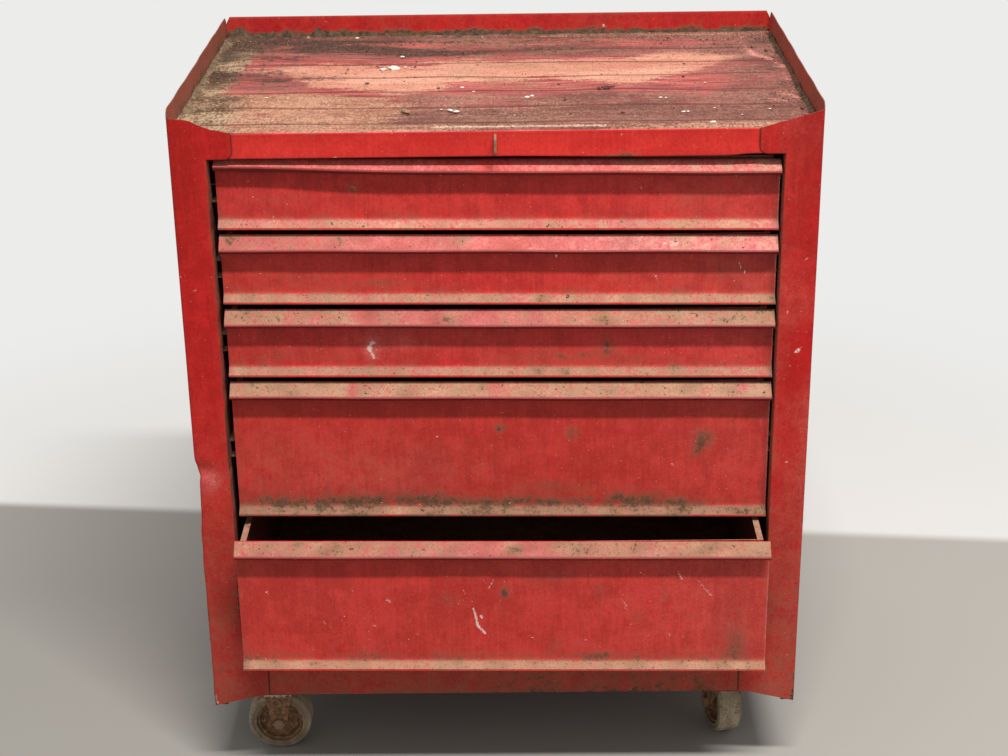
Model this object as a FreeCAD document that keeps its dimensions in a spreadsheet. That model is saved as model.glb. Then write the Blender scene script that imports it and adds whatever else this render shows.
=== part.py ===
import FreeCAD, Part
import math
import os
import re

import Sketcher

# A roller tool cabinet: a folded steel case on four casters, with five drawers on nested slides.
# The sizes are millimetres. X points right, Y points to the back and Z points up.
# The origin is on the floor, midway between the lip of the bottom drawer, which stands open, and the screw
# heads at the back.
# Inside each piece, Y is counted from the front plane of the posts. Its placement moves it from there.

SIZES = {
    # the case
    "cabinet_width": 673,
    "cabinet_depth": 445,
    "tray_height": 780,
    "rim_height": 25,
    "panel_wall": 1,
    "post_width": 38.5,
    "post_return": 18,
    "post_bottom": 95,
    "post_bottom_slope": 55,
    "corner_tab": 65,
    "corner_tab_radius": 8,
    "corner_slope": 63,
    "rail_height": 28,
    "rail_return": 15,
    "bottom_rail_height": 54,
    "rail_bottom_height": 107.9,
    "back_flange": 16,
    "bottom_flange": 15,
    "rim_corner_gap": 8,
    "rim_hem": 10,
    "tray_fold": 12,
    "bead_width": 6,
    "bead_depth": 2,
    "bead_first": 34,
    "bead_last_gap": 84,
    "bead_end": 24,
    # the uprights that carry the slides
    "upright_wall": 1.2,
    "upright_depth": 40,
    "rear_upright_gap": 10,
    # the drawers
    "drawer_gap": 7.5,
    "drawer_top_gap": 2.8,
    "front_side_gap": 4,
    "front_shift": 1.5,
    "front_recess": 16,
    "pull_angle": 38,
    "pull_hem": 7,
    "flare_reach": 8,
    "box_side_gap": 10,
    "box_back_gap": 22,
    "box_floor_drop": 6,
    "box_top_drop": 3.5,
    "box_hem": 6.5,
    "bottom_drawer_open": 52,
    # the slides
    "slide_height": 20,
    "slide_wall": 1,
    "slide_flange": 9,
    "slide_clearance": 0.4,
    "slide_front_gap": 1,
    "slide_back_gap": 4,
    "runner_front_gap": 7,
    # the padlock eye
    "eye_thickness": 2.4,
    "eye_height": 20,
    "eye_reach": 13,
    "eye_drop": 4,
    "eye_corner": 5,
    "eye_hole_radius": 4,
    # the screws of the back panel
    "screw_radius": 2,
    "screw_length": 8,
    "screw_head_radius": 4,
    "screw_head": 2.5,
    "screw_bottom_gap": 55,
    "screw_top_gap": 60,
    "screw_edge": 9,
    # the channels under the floor, which the casters are bolted to
    "mounting_height": 97,
    "channel_wall": 1.5,
    "channel_width": 88,
    "channel_end": 18,
    "caster_inset": 66.5,
    "caster_end": 67,
    # the bolts of the casters
    "bolt_radius": 4,
    "bolt_across": 24,
    "bolt_along": 30,
    "bolt_head_radius": 7,
    "bolt_head": 5,
    "nut_height": 5.5,
    "bolt_tip": 1.5,
    # the casters
    "plate_wall": 2.5,
    "plate_across": 66,
    "plate_along": 78,
    "leg_wall": 2.5,
    "leg_root": 20,
    "leg_tip_radius": 9,
    "wheel_radius": 38,
    "tyre_width": 28,
    "tyre_shoulder": 5,
    "tyre_thickness": 10,
    "hub_length": 29.4,
    "hub_radius": 10,
    "hub_web": 8,
    "hub_rim_width": 22,
    "hub_rim": 4,
    "wheel_side_gap": 0.3,
    "axle_radius": 4,
    "running_clearance": 0.1,
    "axle_head_radius": 7,
    "axle_head": 4.5,
    "trail": 28,
    "front_heading": 14.5,
    "rear_heading": -24,
    # the swivel of the swivel casters
    "ball_radius": 2.5,
    "ball_gap": 0.3,
    "ball_ring_radius": 15,
    "crown_radius": 26,
    "crown_wall": 2.5,
    "crown_lip": 2,
    "crown_lip_height": 3.4,
    "kingpin_radius": 5,
    "kingpin_head_radius": 8,
    "kingpin_head": 2.5,
    "fork_root_front": 15,
    "fork_root_back": 23,
}
DRAWER_UNITS = [1, 1, 1, 2, 2]
BEAD_COUNT = 6
SCREWS_A_SIDE = 4
BALL_COUNT = 12
HEX_SIDES = 6

SIDES = {"left": -1, "right": 1}
PLANES = {"X": ("YZ_Plane", 1), "Y": ("XZ_Plane", -1), "Z": ("XY_Plane", 1)}
WORD = re.compile(r"[a-z_]+")

# Places that several pieces share, as sums of the sizes above
FRONT_PLANE = "((bottom_drawer_open - cabinet_depth - screw_head) / 2)"
HALF_WIDTH = "(cabinet_width / 2)"
RIM_TOP = "(tray_height + rim_height)"
OPENING_TOP = "(tray_height - rail_height)"
OPENING_BOTTOM = "(rail_bottom_height + bottom_rail_height)"
OPENING_HEIGHT = f"({OPENING_TOP} - {OPENING_BOTTOM})"
DRAWER_PITCH = f"({OPENING_HEIGHT} / {sum(DRAWER_UNITS)})"
FLOOR_UNDERSIDE = "(rail_bottom_height + panel_wall)"
FLOOR_TOP = f"({FLOOR_UNDERSIDE} + panel_wall)"
OPENING_HALF = f"({HALF_WIDTH} - post_width)"
SLIDE_WEB = f"({OPENING_HALF} + panel_wall)"
BOX_FRONT = "(front_recess + panel_wall)"
BACK_PANEL_FRONT = "(cabinet_depth - 2 * panel_wall)"
BOX_BACK = f"({BACK_PANEL_FRONT} - box_back_gap)"
BOX_HALF = f"({OPENING_HALF} - box_side_gap)"
FRONT_HALF = f"({OPENING_HALF} - front_side_gap)"
BEAD_PITCH = f"(({BACK_PANEL_FRONT} - bead_last_gap - bead_first) / {BEAD_COUNT - 1})"
SCREW_FIRST = "(post_bottom + screw_bottom_gap)"
SCREW_PITCH = f"((tray_height - screw_top_gap - {SCREW_FIRST}) / {SCREWS_A_SIDE - 1})"
CASTER_SIDE = f"({HALF_WIDTH} - caster_inset)"
TYRE_INNER = "(wheel_radius - tyre_thickness)"
AXLE_DROP = "(mounting_height - wheel_radius)"
LEG_INSIDE = "(hub_length / 2 + wheel_side_gap)"
CROWN_TOP = "(plate_wall + 2 * ball_radius + 2 * ball_gap)"
CROWN_BOTTOM = f"({CROWN_TOP} + crown_wall)"
PIN_HEAD_TOP = f"({CROWN_BOTTOM} + ball_gap)"
PIN_BOTTOM = f"({PIN_HEAD_TOP} + kingpin_head)"

document = FreeCAD.newDocument("ToolCabinet")
sheet = document.addObject("Spreadsheet::Sheet", "Sizes")
parts = []


def fill_sheet():
    """Writes one row for each size: its name in words, and its value under an alias."""
    for row, (alias, size) in enumerate(SIZES.items(), start=1):
        sheet.set(f"A{row}", alias.replace("_", " "))
        sheet.set(f"B{row}", str(size))
        sheet.setAlias(f"B{row}", alias)
    document.recompute()


def bound(formula):
    """The formula as the document reads it, with each size taken from the sheet."""
    return WORD.sub(lambda m: f"Sizes.{m.group()}" if m.group() in SIZES else m.group(), str(formula))


def value(formula):
    """The number that the formula gives now."""
    return float(sheet.evalExpression(bound(formula)))


def minus(formula):
    return f"(0 - {formula})"


def rectangle(x_low, y_low, x_high, y_high):
    """The corners of an upright rectangle in a sketch."""
    return [(x_low, y_low), (x_high, y_low), (x_high, y_high), (x_low, y_high)]


def hexagon(radius, x="0", y="0"):
    """The corners of a hexagon of that outer radius."""
    turns = [f"({360 // HEX_SIDES} * {k})" for k in range(HEX_SIDES)]
    return [(f"{x} + {radius} * cos({turn})", f"{y} + {radius} * sin({turn})") for turn in turns]


def new_body(label):
    body = document.addObject("PartDesign::Body", label)
    body.Label = label
    return body


def place(piece, x="0", y=FRONT_PLANE, z="0", heading="0"):
    """Puts a piece at a point and turns it about the upright axis, both bound to the sheet."""
    piece.Placement = FreeCAD.Placement(FreeCAD.Vector(), FreeCAD.Rotation(FreeCAD.Vector(0, 0, 1), 0))
    for path, formula in (("Base.x", x), ("Base.y", y), ("Base.z", z), ("Rotation.Angle", heading)):
        piece.setExpression(f"Placement.{path}", bound(formula))


def keep(piece, **where):
    """Places a finished sub-part and adds it to those that are written."""
    place(piece, **where)
    parts.append(piece)
    return piece


def sketch_on(body, axis, start):
    """A sketch square to an axis of the body, at a distance along that axis."""
    role, way = PLANES[axis]
    sketch = body.newObject("Sketcher::SketchObject", f"{body.Label}_sketch")
    plane = next(feature for feature in body.Origin.OriginFeatures if feature.Role == role)
    sketch.AttachmentSupport = [(plane, "")]
    sketch.MapMode = "FlatFace"
    sketch.setExpression("AttachmentOffset.Base.z", bound(f"{way} * ({start})"))
    return sketch


def bind_constraints(sketch, constraints, formulas):
    """Adds dimensions to a sketch and ties each to its formula."""
    indices = sketch.addConstraint(constraints)
    for index, formula in zip(indices, formulas):
        sketch.setExpression(f"Constraints[{index}]", bound(formula))


def draw_outline(sketch, corners):
    """Draws a closed outline. A corner is (x, y), and one that ends an arc adds its centre and radius."""
    points = [FreeCAD.Vector(value(corner[0]), value(corner[1]), 0) for corner in corners]
    first = sketch.GeometryCount
    count = len(corners)
    joins = []
    sizes = []
    formulas = []
    starts = []
    ends = []
    for k in range(count):
        start = points[k]
        end = points[(k + 1) % count]
        target = corners[(k + 1) % count]
        if len(target) == 2:
            sketch.addGeometry(Part.LineSegment(start, end), False)
            starts.append(1)
            ends.append(2)
            continue
        centre = FreeCAD.Vector(value(target[2]), value(target[3]), 0)
        radius = value(target[4])
        angle_start = math.atan2(start.y - centre.y, start.x - centre.x)
        angle_end = math.atan2(end.y - centre.y, end.x - centre.x)
        turns_left = (angle_end - angle_start) % (2 * math.pi) < math.pi
        circle = Part.Circle(centre, FreeCAD.Vector(0, 0, 1), radius)
        low, high = (angle_start, angle_end) if turns_left else (angle_end, angle_start)
        sketch.addGeometry(Part.ArcOfCircle(circle, low, high), False)
        starts.append(1 if turns_left else 2)
        ends.append(2 if turns_left else 1)
        sizes.append(Sketcher.Constraint("Radius", first + k, radius))
        formulas.append(target[4])
    for k in range(count):
        following = (k + 1) % count
        here = (first + k, ends[k])
        there = (first + following, starts[following])
        joins.append(Sketcher.Constraint("Coincident", *here, *there))
        for name, formula, number in (
            ("DistanceX", corners[k][0], points[k].x),
            ("DistanceY", corners[k][1], points[k].y),
        ):
            sizes.append(Sketcher.Constraint(name, -1, 1, first + k, starts[k], number))
            formulas.append(formula)
    sketch.addConstraint(joins)
    bind_constraints(sketch, sizes, formulas)


def draw_circle(sketch, x, y, radius):
    centre = FreeCAD.Vector(value(x), value(y), 0)
    geometry = sketch.addGeometry(Part.Circle(centre, FreeCAD.Vector(0, 0, 1), value(radius)), False)
    constraints = [
        Sketcher.Constraint("DistanceX", -1, 1, geometry, 3, centre.x),
        Sketcher.Constraint("DistanceY", -1, 1, geometry, 3, centre.y),
        Sketcher.Constraint("Radius", geometry, value(radius)),
    ]
    bind_constraints(sketch, constraints, [x, y, radius])


def extrude(kind, body, axis, start, length, outlines=(), circles=()):
    """Adds or cuts the space inside the outlines and circles, from start on over length along an axis."""
    sketch = sketch_on(body, axis, start)
    for corners in outlines:
        draw_outline(sketch, corners)
    for circle in circles:
        draw_circle(sketch, *circle)
    feature = body.newObject(f"PartDesign::{kind}", f"{body.Label}_{kind.lower()}")
    feature.Profile = sketch
    feature.setExpression("Length", bound(length))
    feature.Reversed = (axis == "Y") == (kind == "Pad")
    sketch.Visibility = False
    return feature


def pad(body, axis, start, length, *outlines, circles=()):
    return extrude("Pad", body, axis, start, length, outlines, circles)


def pocket(body, axis, start, length, *outlines, circles=()):
    """Cuts, and stops the build if nothing was cut."""
    document.recompute()
    before = body.Shape.Volume
    feature = extrude("Pocket", body, axis, start, length, outlines, circles)
    document.recompute()
    if body.Shape.Volume >= before:
        raise RuntimeError(f"a pocket in {body.Label} cut nothing")
    return feature


def revolve(body, corners):
    """Turns an outline, given as places along X and radii, about the body's X axis."""
    sketch = sketch_on(body, "Z", "0")
    draw_outline(sketch, corners)
    feature = body.newObject("PartDesign::Revolution", f"{body.Label}_revolution")
    feature.Profile = sketch
    feature.ReferenceAxis = (sketch, ["H_Axis"])
    feature.Angle = 360
    sketch.Visibility = False
    return feature


def group(label, pieces):
    """One node that holds several separate solids."""
    compound = document.addObject("Part::Compound", label)
    compound.Label = label
    compound.Links = pieces
    return compound


def inward(side, distance):
    """X at a distance inward from the outer face of the left or right side."""
    return f"({SIDES[side]} * ({HALF_WIDTH} - ({distance})))"


def slab_across(side, near, far):
    """A slab along X lies from near to far inward of a side's outer face. Gives its start and its length."""
    outermost = far if side == "right" else near
    return inward(side, outermost), f"({far}) - ({near})"


def make_side_panel(side):
    """A side with the post, its two corner tabs and its flanges folded from one sheet."""

    def x(distance):
        return inward(side, distance)

    body = new_body(f"side_panel_{side}")
    start, length = slab_across(side, "0", "panel_wall")
    rim_slope = "cabinet_depth - rim_corner_gap"
    wall = [
        ("0", "post_bottom"),
        ("cabinet_depth", "post_bottom"),
        ("cabinet_depth", "tray_height"),
        (rim_slope, RIM_TOP),
        ("0", RIM_TOP),
    ]
    pad(body, "X", start, length, wall)
    tab_turn = "corner_tab - corner_tab_radius"
    face = [
        (x("0"), "post_bottom"),
        (x("post_bottom_slope"), "rail_bottom_height"),
        (x("corner_tab"), "rail_bottom_height"),
        (x("corner_tab"), OPENING_BOTTOM),
        (x("post_width"), OPENING_BOTTOM),
        (x("post_width"), OPENING_TOP),
        (x(tab_turn), OPENING_TOP),
        (
            x("corner_tab"),
            f"{OPENING_TOP} + corner_tab_radius",
            x(tab_turn),
            f"{OPENING_TOP} + corner_tab_radius",
            "corner_tab_radius",
        ),
        (x("corner_tab"), "tray_height"),
        (x("corner_slope"), "tray_height"),
        (x("0"), RIM_TOP),
    ]
    pad(body, "Y", "0", "panel_wall", face)
    fold = rectangle(x("post_width"), "0", x("post_width - panel_wall"), "post_return")
    pad(body, "Z", OPENING_BOTTOM, OPENING_HEIGHT, fold)
    back = rectangle(x("0"), "post_bottom", x("back_flange"), "tray_height - tray_fold")
    pad(body, "Y", "cabinet_depth - panel_wall", "panel_wall", back)
    foot = rectangle(x("0"), "panel_wall", x("bottom_flange"), BACK_PANEL_FRONT)
    pad(body, "Z", "post_bottom", "panel_wall", foot)
    pocket(body, "Y", "cabinet_depth - 2 * panel_wall", "3 * panel_wall", circles=screw_circles([side]))
    return keep(body)


def screw_circles(sides, radius="screw_radius + running_clearance"):
    """The holes or shanks of the back panel's screws: place across, height and radius."""
    heights = [f"{SCREW_FIRST} + {k} * {SCREW_PITCH}" for k in range(SCREWS_A_SIDE)]
    return [(inward(side, "screw_edge"), height, radius) for side in sides for height in heights]


def make_top_tray():
    """The top with its six pressed beads. Its front folds down into the top rail. It folds down at the sides
    and the back to be welded."""
    body = new_body("top_tray")
    start = minus(f"({HALF_WIDTH} - panel_wall)")
    section = [
        ("panel_wall", OPENING_TOP),
        ("panel_wall", "tray_height"),
        (BACK_PANEL_FRONT, "tray_height"),
        (BACK_PANEL_FRONT, "tray_height - tray_fold"),
        (f"{BACK_PANEL_FRONT} - panel_wall", "tray_height - tray_fold"),
        (f"{BACK_PANEL_FRONT} - panel_wall", "tray_height - panel_wall"),
        ("2 * panel_wall", "tray_height - panel_wall"),
        ("2 * panel_wall", f"{OPENING_TOP} + panel_wall"),
        ("rail_return", f"{OPENING_TOP} + panel_wall"),
        ("rail_return", OPENING_TOP),
    ]
    pad(body, "X", start, "cabinet_width - 2 * panel_wall", section)
    for side in SIDES:
        fold_start, fold_length = slab_across(side, "panel_wall", "2 * panel_wall")
        fold = rectangle(
            "2 * rail_return", "tray_height - tray_fold",
            f"{BACK_PANEL_FRONT} - 2 * panel_wall", "tray_height",
        )
        pad(body, "X", fold_start, fold_length, fold)
    troughs = []
    grooves = []
    for k in range(BEAD_COUNT):
        middle = f"bead_first + {k} * {BEAD_PITCH}"
        for corners, wall in ((troughs, "panel_wall"), (grooves, "0")):
            reach = f"({HALF_WIDTH} - bead_end + {wall})"
            near = f"{middle} - bead_width / 2 - {wall}"
            far = f"{middle} + bead_width / 2 + {wall}"
            corners.append(rectangle(minus(reach), near, reach, far))
    pad(body, "Z", "tray_height - bead_depth - panel_wall", "bead_depth", *troughs)
    pocket(body, "Z", "tray_height - bead_depth", "bead_depth", *grooves)
    return keep(body)


def make_back_panel():
    """The back, whose top stands above the tray as its rear rim, with a hem along the edge."""
    body = new_body("back_panel")
    low = f"({HALF_WIDTH} - 2 * panel_wall)"
    high = f"({low} - rim_corner_gap)"
    outline = [
        (minus(low), "post_bottom"),
        (low, "post_bottom"),
        (low, "tray_height"),
        (high, RIM_TOP),
        (minus(high), RIM_TOP),
        (minus(low), "tray_height"),
    ]
    pad(body, "Y", BACK_PANEL_FRONT, "panel_wall", outline)
    hem_half = f"({high} - panel_wall)"
    hem = rectangle(minus(hem_half), f"{RIM_TOP} - rim_hem", hem_half, RIM_TOP)
    pad(body, "Y", f"{BACK_PANEL_FRONT} - panel_wall", "panel_wall", hem)
    pocket(body, "Y", BACK_PANEL_FRONT, "panel_wall", circles=screw_circles(SIDES))
    return keep(body)


def make_back_panel_screws():
    """Screws with round heads, which hold the back panel to the flanges of the sides."""
    screws = []
    for number, (x, height, _) in enumerate(screw_circles(SIDES), start=1):
        screw = new_body(f"back_panel_screw_{number}")
        shank = [(x, height, "screw_radius")]
        pad(screw, "Y", "cabinet_depth - screw_length", "screw_length", circles=shank)
        pad(screw, "Y", "cabinet_depth", "screw_head", circles=[(x, height, "screw_head_radius")])
        screws.append(screw)
    return keep(group("back_panel_screws", screws))


def make_bottom_rail():
    """The rail under the bottom drawer, folded back above and below."""
    body = new_body("bottom_rail")
    half = f"({HALF_WIDTH} - 2 * panel_wall)"
    section = [
        ("panel_wall", "rail_bottom_height"),
        ("panel_wall", OPENING_BOTTOM),
        ("2 * panel_wall", OPENING_BOTTOM),
        ("2 * panel_wall", "rail_bottom_height + panel_wall"),
        ("rail_return", "rail_bottom_height + panel_wall"),
        ("rail_return", "rail_bottom_height"),
    ]
    pad(body, "X", minus(half), f"2 * {half}", section)
    fold_half = f"({OPENING_HALF} - slide_clearance)"
    fold = rectangle(minus(fold_half), "panel_wall", fold_half, "rail_return")
    pad(body, "Z", f"{OPENING_BOTTOM} - panel_wall", "panel_wall", fold)
    return keep(body)


def make_bottom_pan():
    """The floor of the case, folded down along the sides."""
    body = new_body("bottom_pan")
    half = f"({HALF_WIDTH} - panel_wall)"
    flat = rectangle(minus(half), "2 * panel_wall", half, BACK_PANEL_FRONT)
    pad(body, "Z", FLOOR_UNDERSIDE, "panel_wall", flat)
    for side in SIDES:
        start, length = slab_across(side, "panel_wall", "2 * panel_wall")
        fold = rectangle(
            "rail_return + panel_wall", "post_bottom + panel_wall",
            f"{BACK_PANEL_FRONT} - panel_wall", FLOOR_TOP,
        )
        pad(body, "X", start, length, fold)
    return keep(body)


def make_upright(end, side):
    """A channel that stands against the side and carries the slides at one end."""
    body = new_body(f"upright_{end}_{side}")
    near = "2 * panel_wall"
    if end == "rear":
        near = f"({BACK_PANEL_FRONT} - rear_upright_gap - upright_depth)"
    far = f"({near} + upright_depth)"
    web = inward(side, "post_width - panel_wall")
    web_inside = inward(side, "post_width - panel_wall - upright_wall")
    wall = inward(side, "panel_wall")
    section = [
        (wall, near),
        (web, near),
        (web, far),
        (wall, far),
        (wall, f"{far} - upright_wall"),
        (web_inside, f"{far} - upright_wall"),
        (web_inside, f"{near} + upright_wall"),
        (wall, f"{near} + upright_wall"),
    ]
    pad(body, "Z", FLOOR_TOP, f"{OPENING_TOP} - {FLOOR_TOP}", section)
    return keep(body)


def c_section(sign, web, flange_end, middle, height, wall, opens):
    """The outline of a slide: a web and two flanges. opens is 1 where they run outward and -1 inward."""
    inside = f"({web} + {opens} * {wall})"
    top = f"({middle} + {height} / 2)"
    low = f"({middle} - {height} / 2)"
    corners = [
        (web, low),
        (flange_end, low),
        (flange_end, f"{low} + {wall}"),
        (inside, f"{low} + {wall}"),
        (inside, f"{top} - {wall}"),
        (flange_end, f"{top} - {wall}"),
        (flange_end, top),
        (web, top),
    ]
    return [(f"{sign} * ({x})", z) for x, z in corners]


def front_height(units):
    return f"({units} * {DRAWER_PITCH} - drawer_gap)"


def drawer_base(number):
    """The height of the lowest edge of a drawer's front."""
    units_down = sum(DRAWER_UNITS[:number])
    return f"({OPENING_TOP} - drawer_top_gap - {units_down} * {DRAWER_PITCH} + drawer_gap)"


def slide_middle(units):
    """The height of the slides above the lowest edge of a drawer's front."""
    return f"({front_height(units)} / 2)"


def make_drawer_channels(number, units):
    """The pair of channels on the uprights, which the runners of a drawer slide in."""
    body = new_body(f"drawer_{number}_channels")
    flange_end = f"({SLIDE_WEB} - slide_flange)"
    outlines = [
        c_section(sign, SLIDE_WEB, flange_end, slide_middle(units), "slide_height", "slide_wall", -1)
        for sign in SIDES.values()
    ]
    start = "post_return + slide_front_gap"
    pad(body, "Y", start, f"{BACK_PANEL_FRONT} - slide_back_gap - ({start})", *outlines)
    return keep(body, z=drawer_base(number))


def make_drawer_runners(number, units, slide_place):
    """The pair of runners on the sides of a drawer, nested in its channels."""
    body = new_body(f"drawer_{number}_runners")
    flange_end = f"({SLIDE_WEB} - slide_wall - slide_clearance)"
    height = "(slide_height - 2 * slide_wall - 2 * slide_clearance)"
    outlines = [
        c_section(sign, BOX_HALF, flange_end, slide_middle(units), height, "slide_wall", 1)
        for sign in SIDES.values()
    ]
    start = f"({BOX_FRONT} + runner_front_gap)"
    pad(body, "Y", start, f"{BOX_BACK} - {start}", *outlines)
    return keep(body, y=slide_place, z=drawer_base(number))


def make_drawer_box(number, units, slide_place):
    """The tray of a drawer, with the tops of its sides and back hemmed inward."""
    body = new_body(f"drawer_{number}_box")
    top = f"({front_height(units)} - box_top_drop)"
    outside = rectangle(minus(BOX_HALF), BOX_FRONT, BOX_HALF, BOX_BACK)
    pad(body, "Z", "box_floor_drop", f"{top} - box_floor_drop", outside)
    inner_half = f"({BOX_HALF} - panel_wall)"
    inner_front = f"{BOX_FRONT} + panel_wall"
    inner_back = f"{BOX_BACK} - panel_wall"
    inside = rectangle(minus(inner_half), inner_front, inner_half, inner_back)
    floor = "(box_floor_drop + panel_wall)"
    pocket(body, "Z", floor, f"{top} - {floor}", inside)
    hem_half = f"({BOX_HALF} - box_hem)"
    hem = [
        (minus(BOX_HALF), BOX_FRONT),
        (minus(BOX_HALF), BOX_BACK),
        (BOX_HALF, BOX_BACK),
        (BOX_HALF, BOX_FRONT),
        (hem_half, BOX_FRONT),
        (hem_half, f"{BOX_BACK} - box_hem"),
        (minus(hem_half), f"{BOX_BACK} - box_hem"),
        (minus(hem_half), BOX_FRONT),
    ]
    pad(body, "Z", f"{top} - panel_wall", "panel_wall", hem)
    return keep(body, y=slide_place, z=drawer_base(number))


def make_drawer_front(number, units, slide_place):
    """The skin of a drawer's front: a flare along the bottom, a flat face, and a sloping pull with a hem."""
    body = new_body(f"drawer_{number}_front")
    top = front_height(units)
    slope = "tan(pull_angle)"
    across = "(panel_wall / cos(pull_angle))"
    diagonal = "(panel_wall * sqrt(2) / 2)"
    hem_end = "(pull_hem * cos(pull_angle))"
    flare_front = "(front_recess - flare_reach)"

    def under(distance, sheets):
        """A height under the pull, a distance behind the lip and so many sheets down."""
        return f"{top} - ({BOX_FRONT} - {distance}) * {slope} - {sheets} * {across}"

    section = [
        (flare_front, diagonal),
        ("front_recess", f"{diagonal} + flare_reach"),
        ("front_recess", under("front_recess", 1)),
        (hem_end, under(hem_end, 1)),
        (hem_end, under(hem_end, 2)),
        ("0", under("0", 2)),
        ("0", under("0", 0)),
        (BOX_FRONT, top),
        (BOX_FRONT, f"{BOX_FRONT} - {flare_front} - {diagonal}"),
        (f"{flare_front} + {diagonal}", "0"),
    ]
    pad(body, "X", f"front_shift - {FRONT_HALF}", f"2 * {FRONT_HALF}", section)
    return keep(body, y=slide_place, z=drawer_base(number))


def make_drawer(number, units):
    """A drawer and its channels. The bottom drawer stands a little open."""
    is_last = number == len(DRAWER_UNITS)
    slide_place = f"({FRONT_PLANE} - bottom_drawer_open)" if is_last else FRONT_PLANE
    make_drawer_channels(number, units)
    make_drawer_runners(number, units, slide_place)
    make_drawer_box(number, units, slide_place)
    make_drawer_front(number, units, slide_place)


def make_padlock_eye():
    """An upright tab welded to the top rail, with a round hole for the shackle of a padlock."""
    body = new_body("padlock_eye")
    tip = "(panel_wall - eye_reach)"
    high = "(tray_height - eye_drop)"
    low = f"({high} - eye_height)"
    turn = f"({tip} + eye_corner)"
    outline = [
        ("panel_wall", low),
        ("panel_wall", high),
        (turn, high),
        (tip, f"{high} - eye_corner", turn, f"{high} - eye_corner", "eye_corner"),
        (tip, f"{low} + eye_corner"),
        (turn, low, turn, f"{low} + eye_corner", "eye_corner"),
    ]
    hole = ("(panel_wall - eye_reach / 2)", f"{high} - eye_height / 2", "eye_hole_radius")
    pad(body, "X", "0 - eye_thickness / 2", "eye_thickness", outline, circles=[hole])
    return keep(body)


def caster_places():
    """The middle of each caster's plate: its name, X, and Y from the front plane."""
    for side, sign in SIDES.items():
        for end, along in (("front", "caster_end"), ("rear", "(cabinet_depth - caster_end)")):
            yield side, end, f"({sign} * {CASTER_SIDE})", along


def bolt_places(along_x):
    """The four bolts about a caster's middle. The plate's longer spacing runs along X or along Y."""
    step_x, step_y = ("bolt_along", "bolt_across") if along_x else ("bolt_across", "bolt_along")
    return [(f"{i} * {step_x}", f"{j} * {step_y}") for i in SIDES.values() for j in SIDES.values()]


def make_caster_channel(side):
    """A channel under the floor from front to back. Two casters are bolted to its web."""
    body = new_body(f"caster_channel_{side}")
    sign = SIDES[side]
    middle = f"({sign} * {CASTER_SIDE})"
    near = f"({middle} - channel_width / 2)"
    far = f"({middle} + channel_width / 2)"
    web_top = "(mounting_height + channel_wall)"
    section = [
        (near, "mounting_height"),
        (far, "mounting_height"),
        (far, FLOOR_UNDERSIDE),
        (f"{far} - channel_wall", FLOOR_UNDERSIDE),
        (f"{far} - channel_wall", web_top),
        (f"{near} + channel_wall", web_top),
        (f"{near} + channel_wall", FLOOR_UNDERSIDE),
        (near, FLOOR_UNDERSIDE),
    ]
    pad(body, "Y", "channel_end", "cabinet_depth - 2 * channel_end", section)
    holes = [
        (f"{x} + {dx}", f"{along} + {dy}", "bolt_radius + running_clearance")
        for place_side, _, x, along in caster_places()
        if place_side == side
        for dx, dy in bolt_places(side == "left")
    ]
    pocket(body, "Z", "mounting_height", "channel_wall", circles=holes)
    return keep(body)


def make_caster_bolts():
    """Hexagon bolts with their nuts, four to a caster. The heads are inside the channels."""
    pieces = []
    for side, end, x, along in caster_places():
        for number, (dx, dy) in enumerate(bolt_places(side == "left"), start=1):
            across = f"({x} + {dx})"
            back = f"({along} + {dy})"
            name = f"{side}_{end}_{number}"
            web_top = "(mounting_height + channel_wall)"
            plate_bottom = "(mounting_height - plate_wall)"
            tip = f"({plate_bottom} - nut_height - bolt_tip)"
            bolt = new_body(f"caster_bolt_{name}")
            pad(bolt, "Z", tip, f"{web_top} - {tip}", circles=[(across, back, "bolt_radius")])
            pad(bolt, "Z", web_top, "bolt_head", hexagon("bolt_head_radius", across, back))
            nut = new_body(f"caster_nut_{name}")
            ring = hexagon("bolt_head_radius", across, back)
            hole = (across, back, "bolt_radius + running_clearance")
            pad(nut, "Z", f"{plate_bottom} - nut_height", "nut_height", ring, circles=[hole])
            pieces += [bolt, nut]
    return keep(group("caster_bolts", pieces))


def caster_plate(body, *holes):
    """The flat plate at the top of a caster, under the mounting face at Z = 0, with its four bolt holes."""
    plate = rectangle("0 - plate_across / 2", "0 - plate_along / 2", "plate_across / 2", "plate_along / 2")
    bolt_holes = [(x, y, "bolt_radius + running_clearance") for x, y in bolt_places(False)]
    pad(body, "Z", "0 - plate_wall", "plate_wall", plate, circles=bolt_holes + list(holes))


def caster_legs(body, root_top, root_front, root_back, axle_back):
    """Two legs that taper from a plate or crown down to the axle, with a round end and a bore."""
    for sign in SIDES.values():
        near = LEG_INSIDE if sign > 0 else minus(f"({LEG_INSIDE} + leg_wall)")
        leg = [
            (minus(root_front), minus(root_top)),
            (root_back, minus(root_top)),
            (f"{axle_back} + leg_tip_radius", minus(AXLE_DROP)),
            (f"{axle_back} - leg_tip_radius", minus(AXLE_DROP)),
        ]
        pad(body, "X", near, "leg_wall", leg)
        pad(body, "X", near, "leg_wall", circles=[(axle_back, minus(AXLE_DROP), "leg_tip_radius")])
    bore = (axle_back, minus(AXLE_DROP), "axle_radius + running_clearance")
    reach = f"({LEG_INSIDE} + leg_wall)"
    pocket(body, "X", minus(reach), f"2 * {reach}", circles=[bore])


def make_axle(label, **where):
    """The bolt that the wheel turns on, with its hexagon head and nut, along X."""
    body = new_body(label)
    reach = f"({LEG_INSIDE} + leg_wall + axle_head)"
    pad(body, "X", minus(reach), f"2 * {reach}", circles=[("0", "0", "axle_radius")])
    pad(body, "X", minus(reach), "axle_head", hexagon("axle_head_radius"))
    pad(body, "X", f"{LEG_INSIDE} + leg_wall", "axle_head", hexagon("axle_head_radius"))
    return keep(body, **where)


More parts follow.
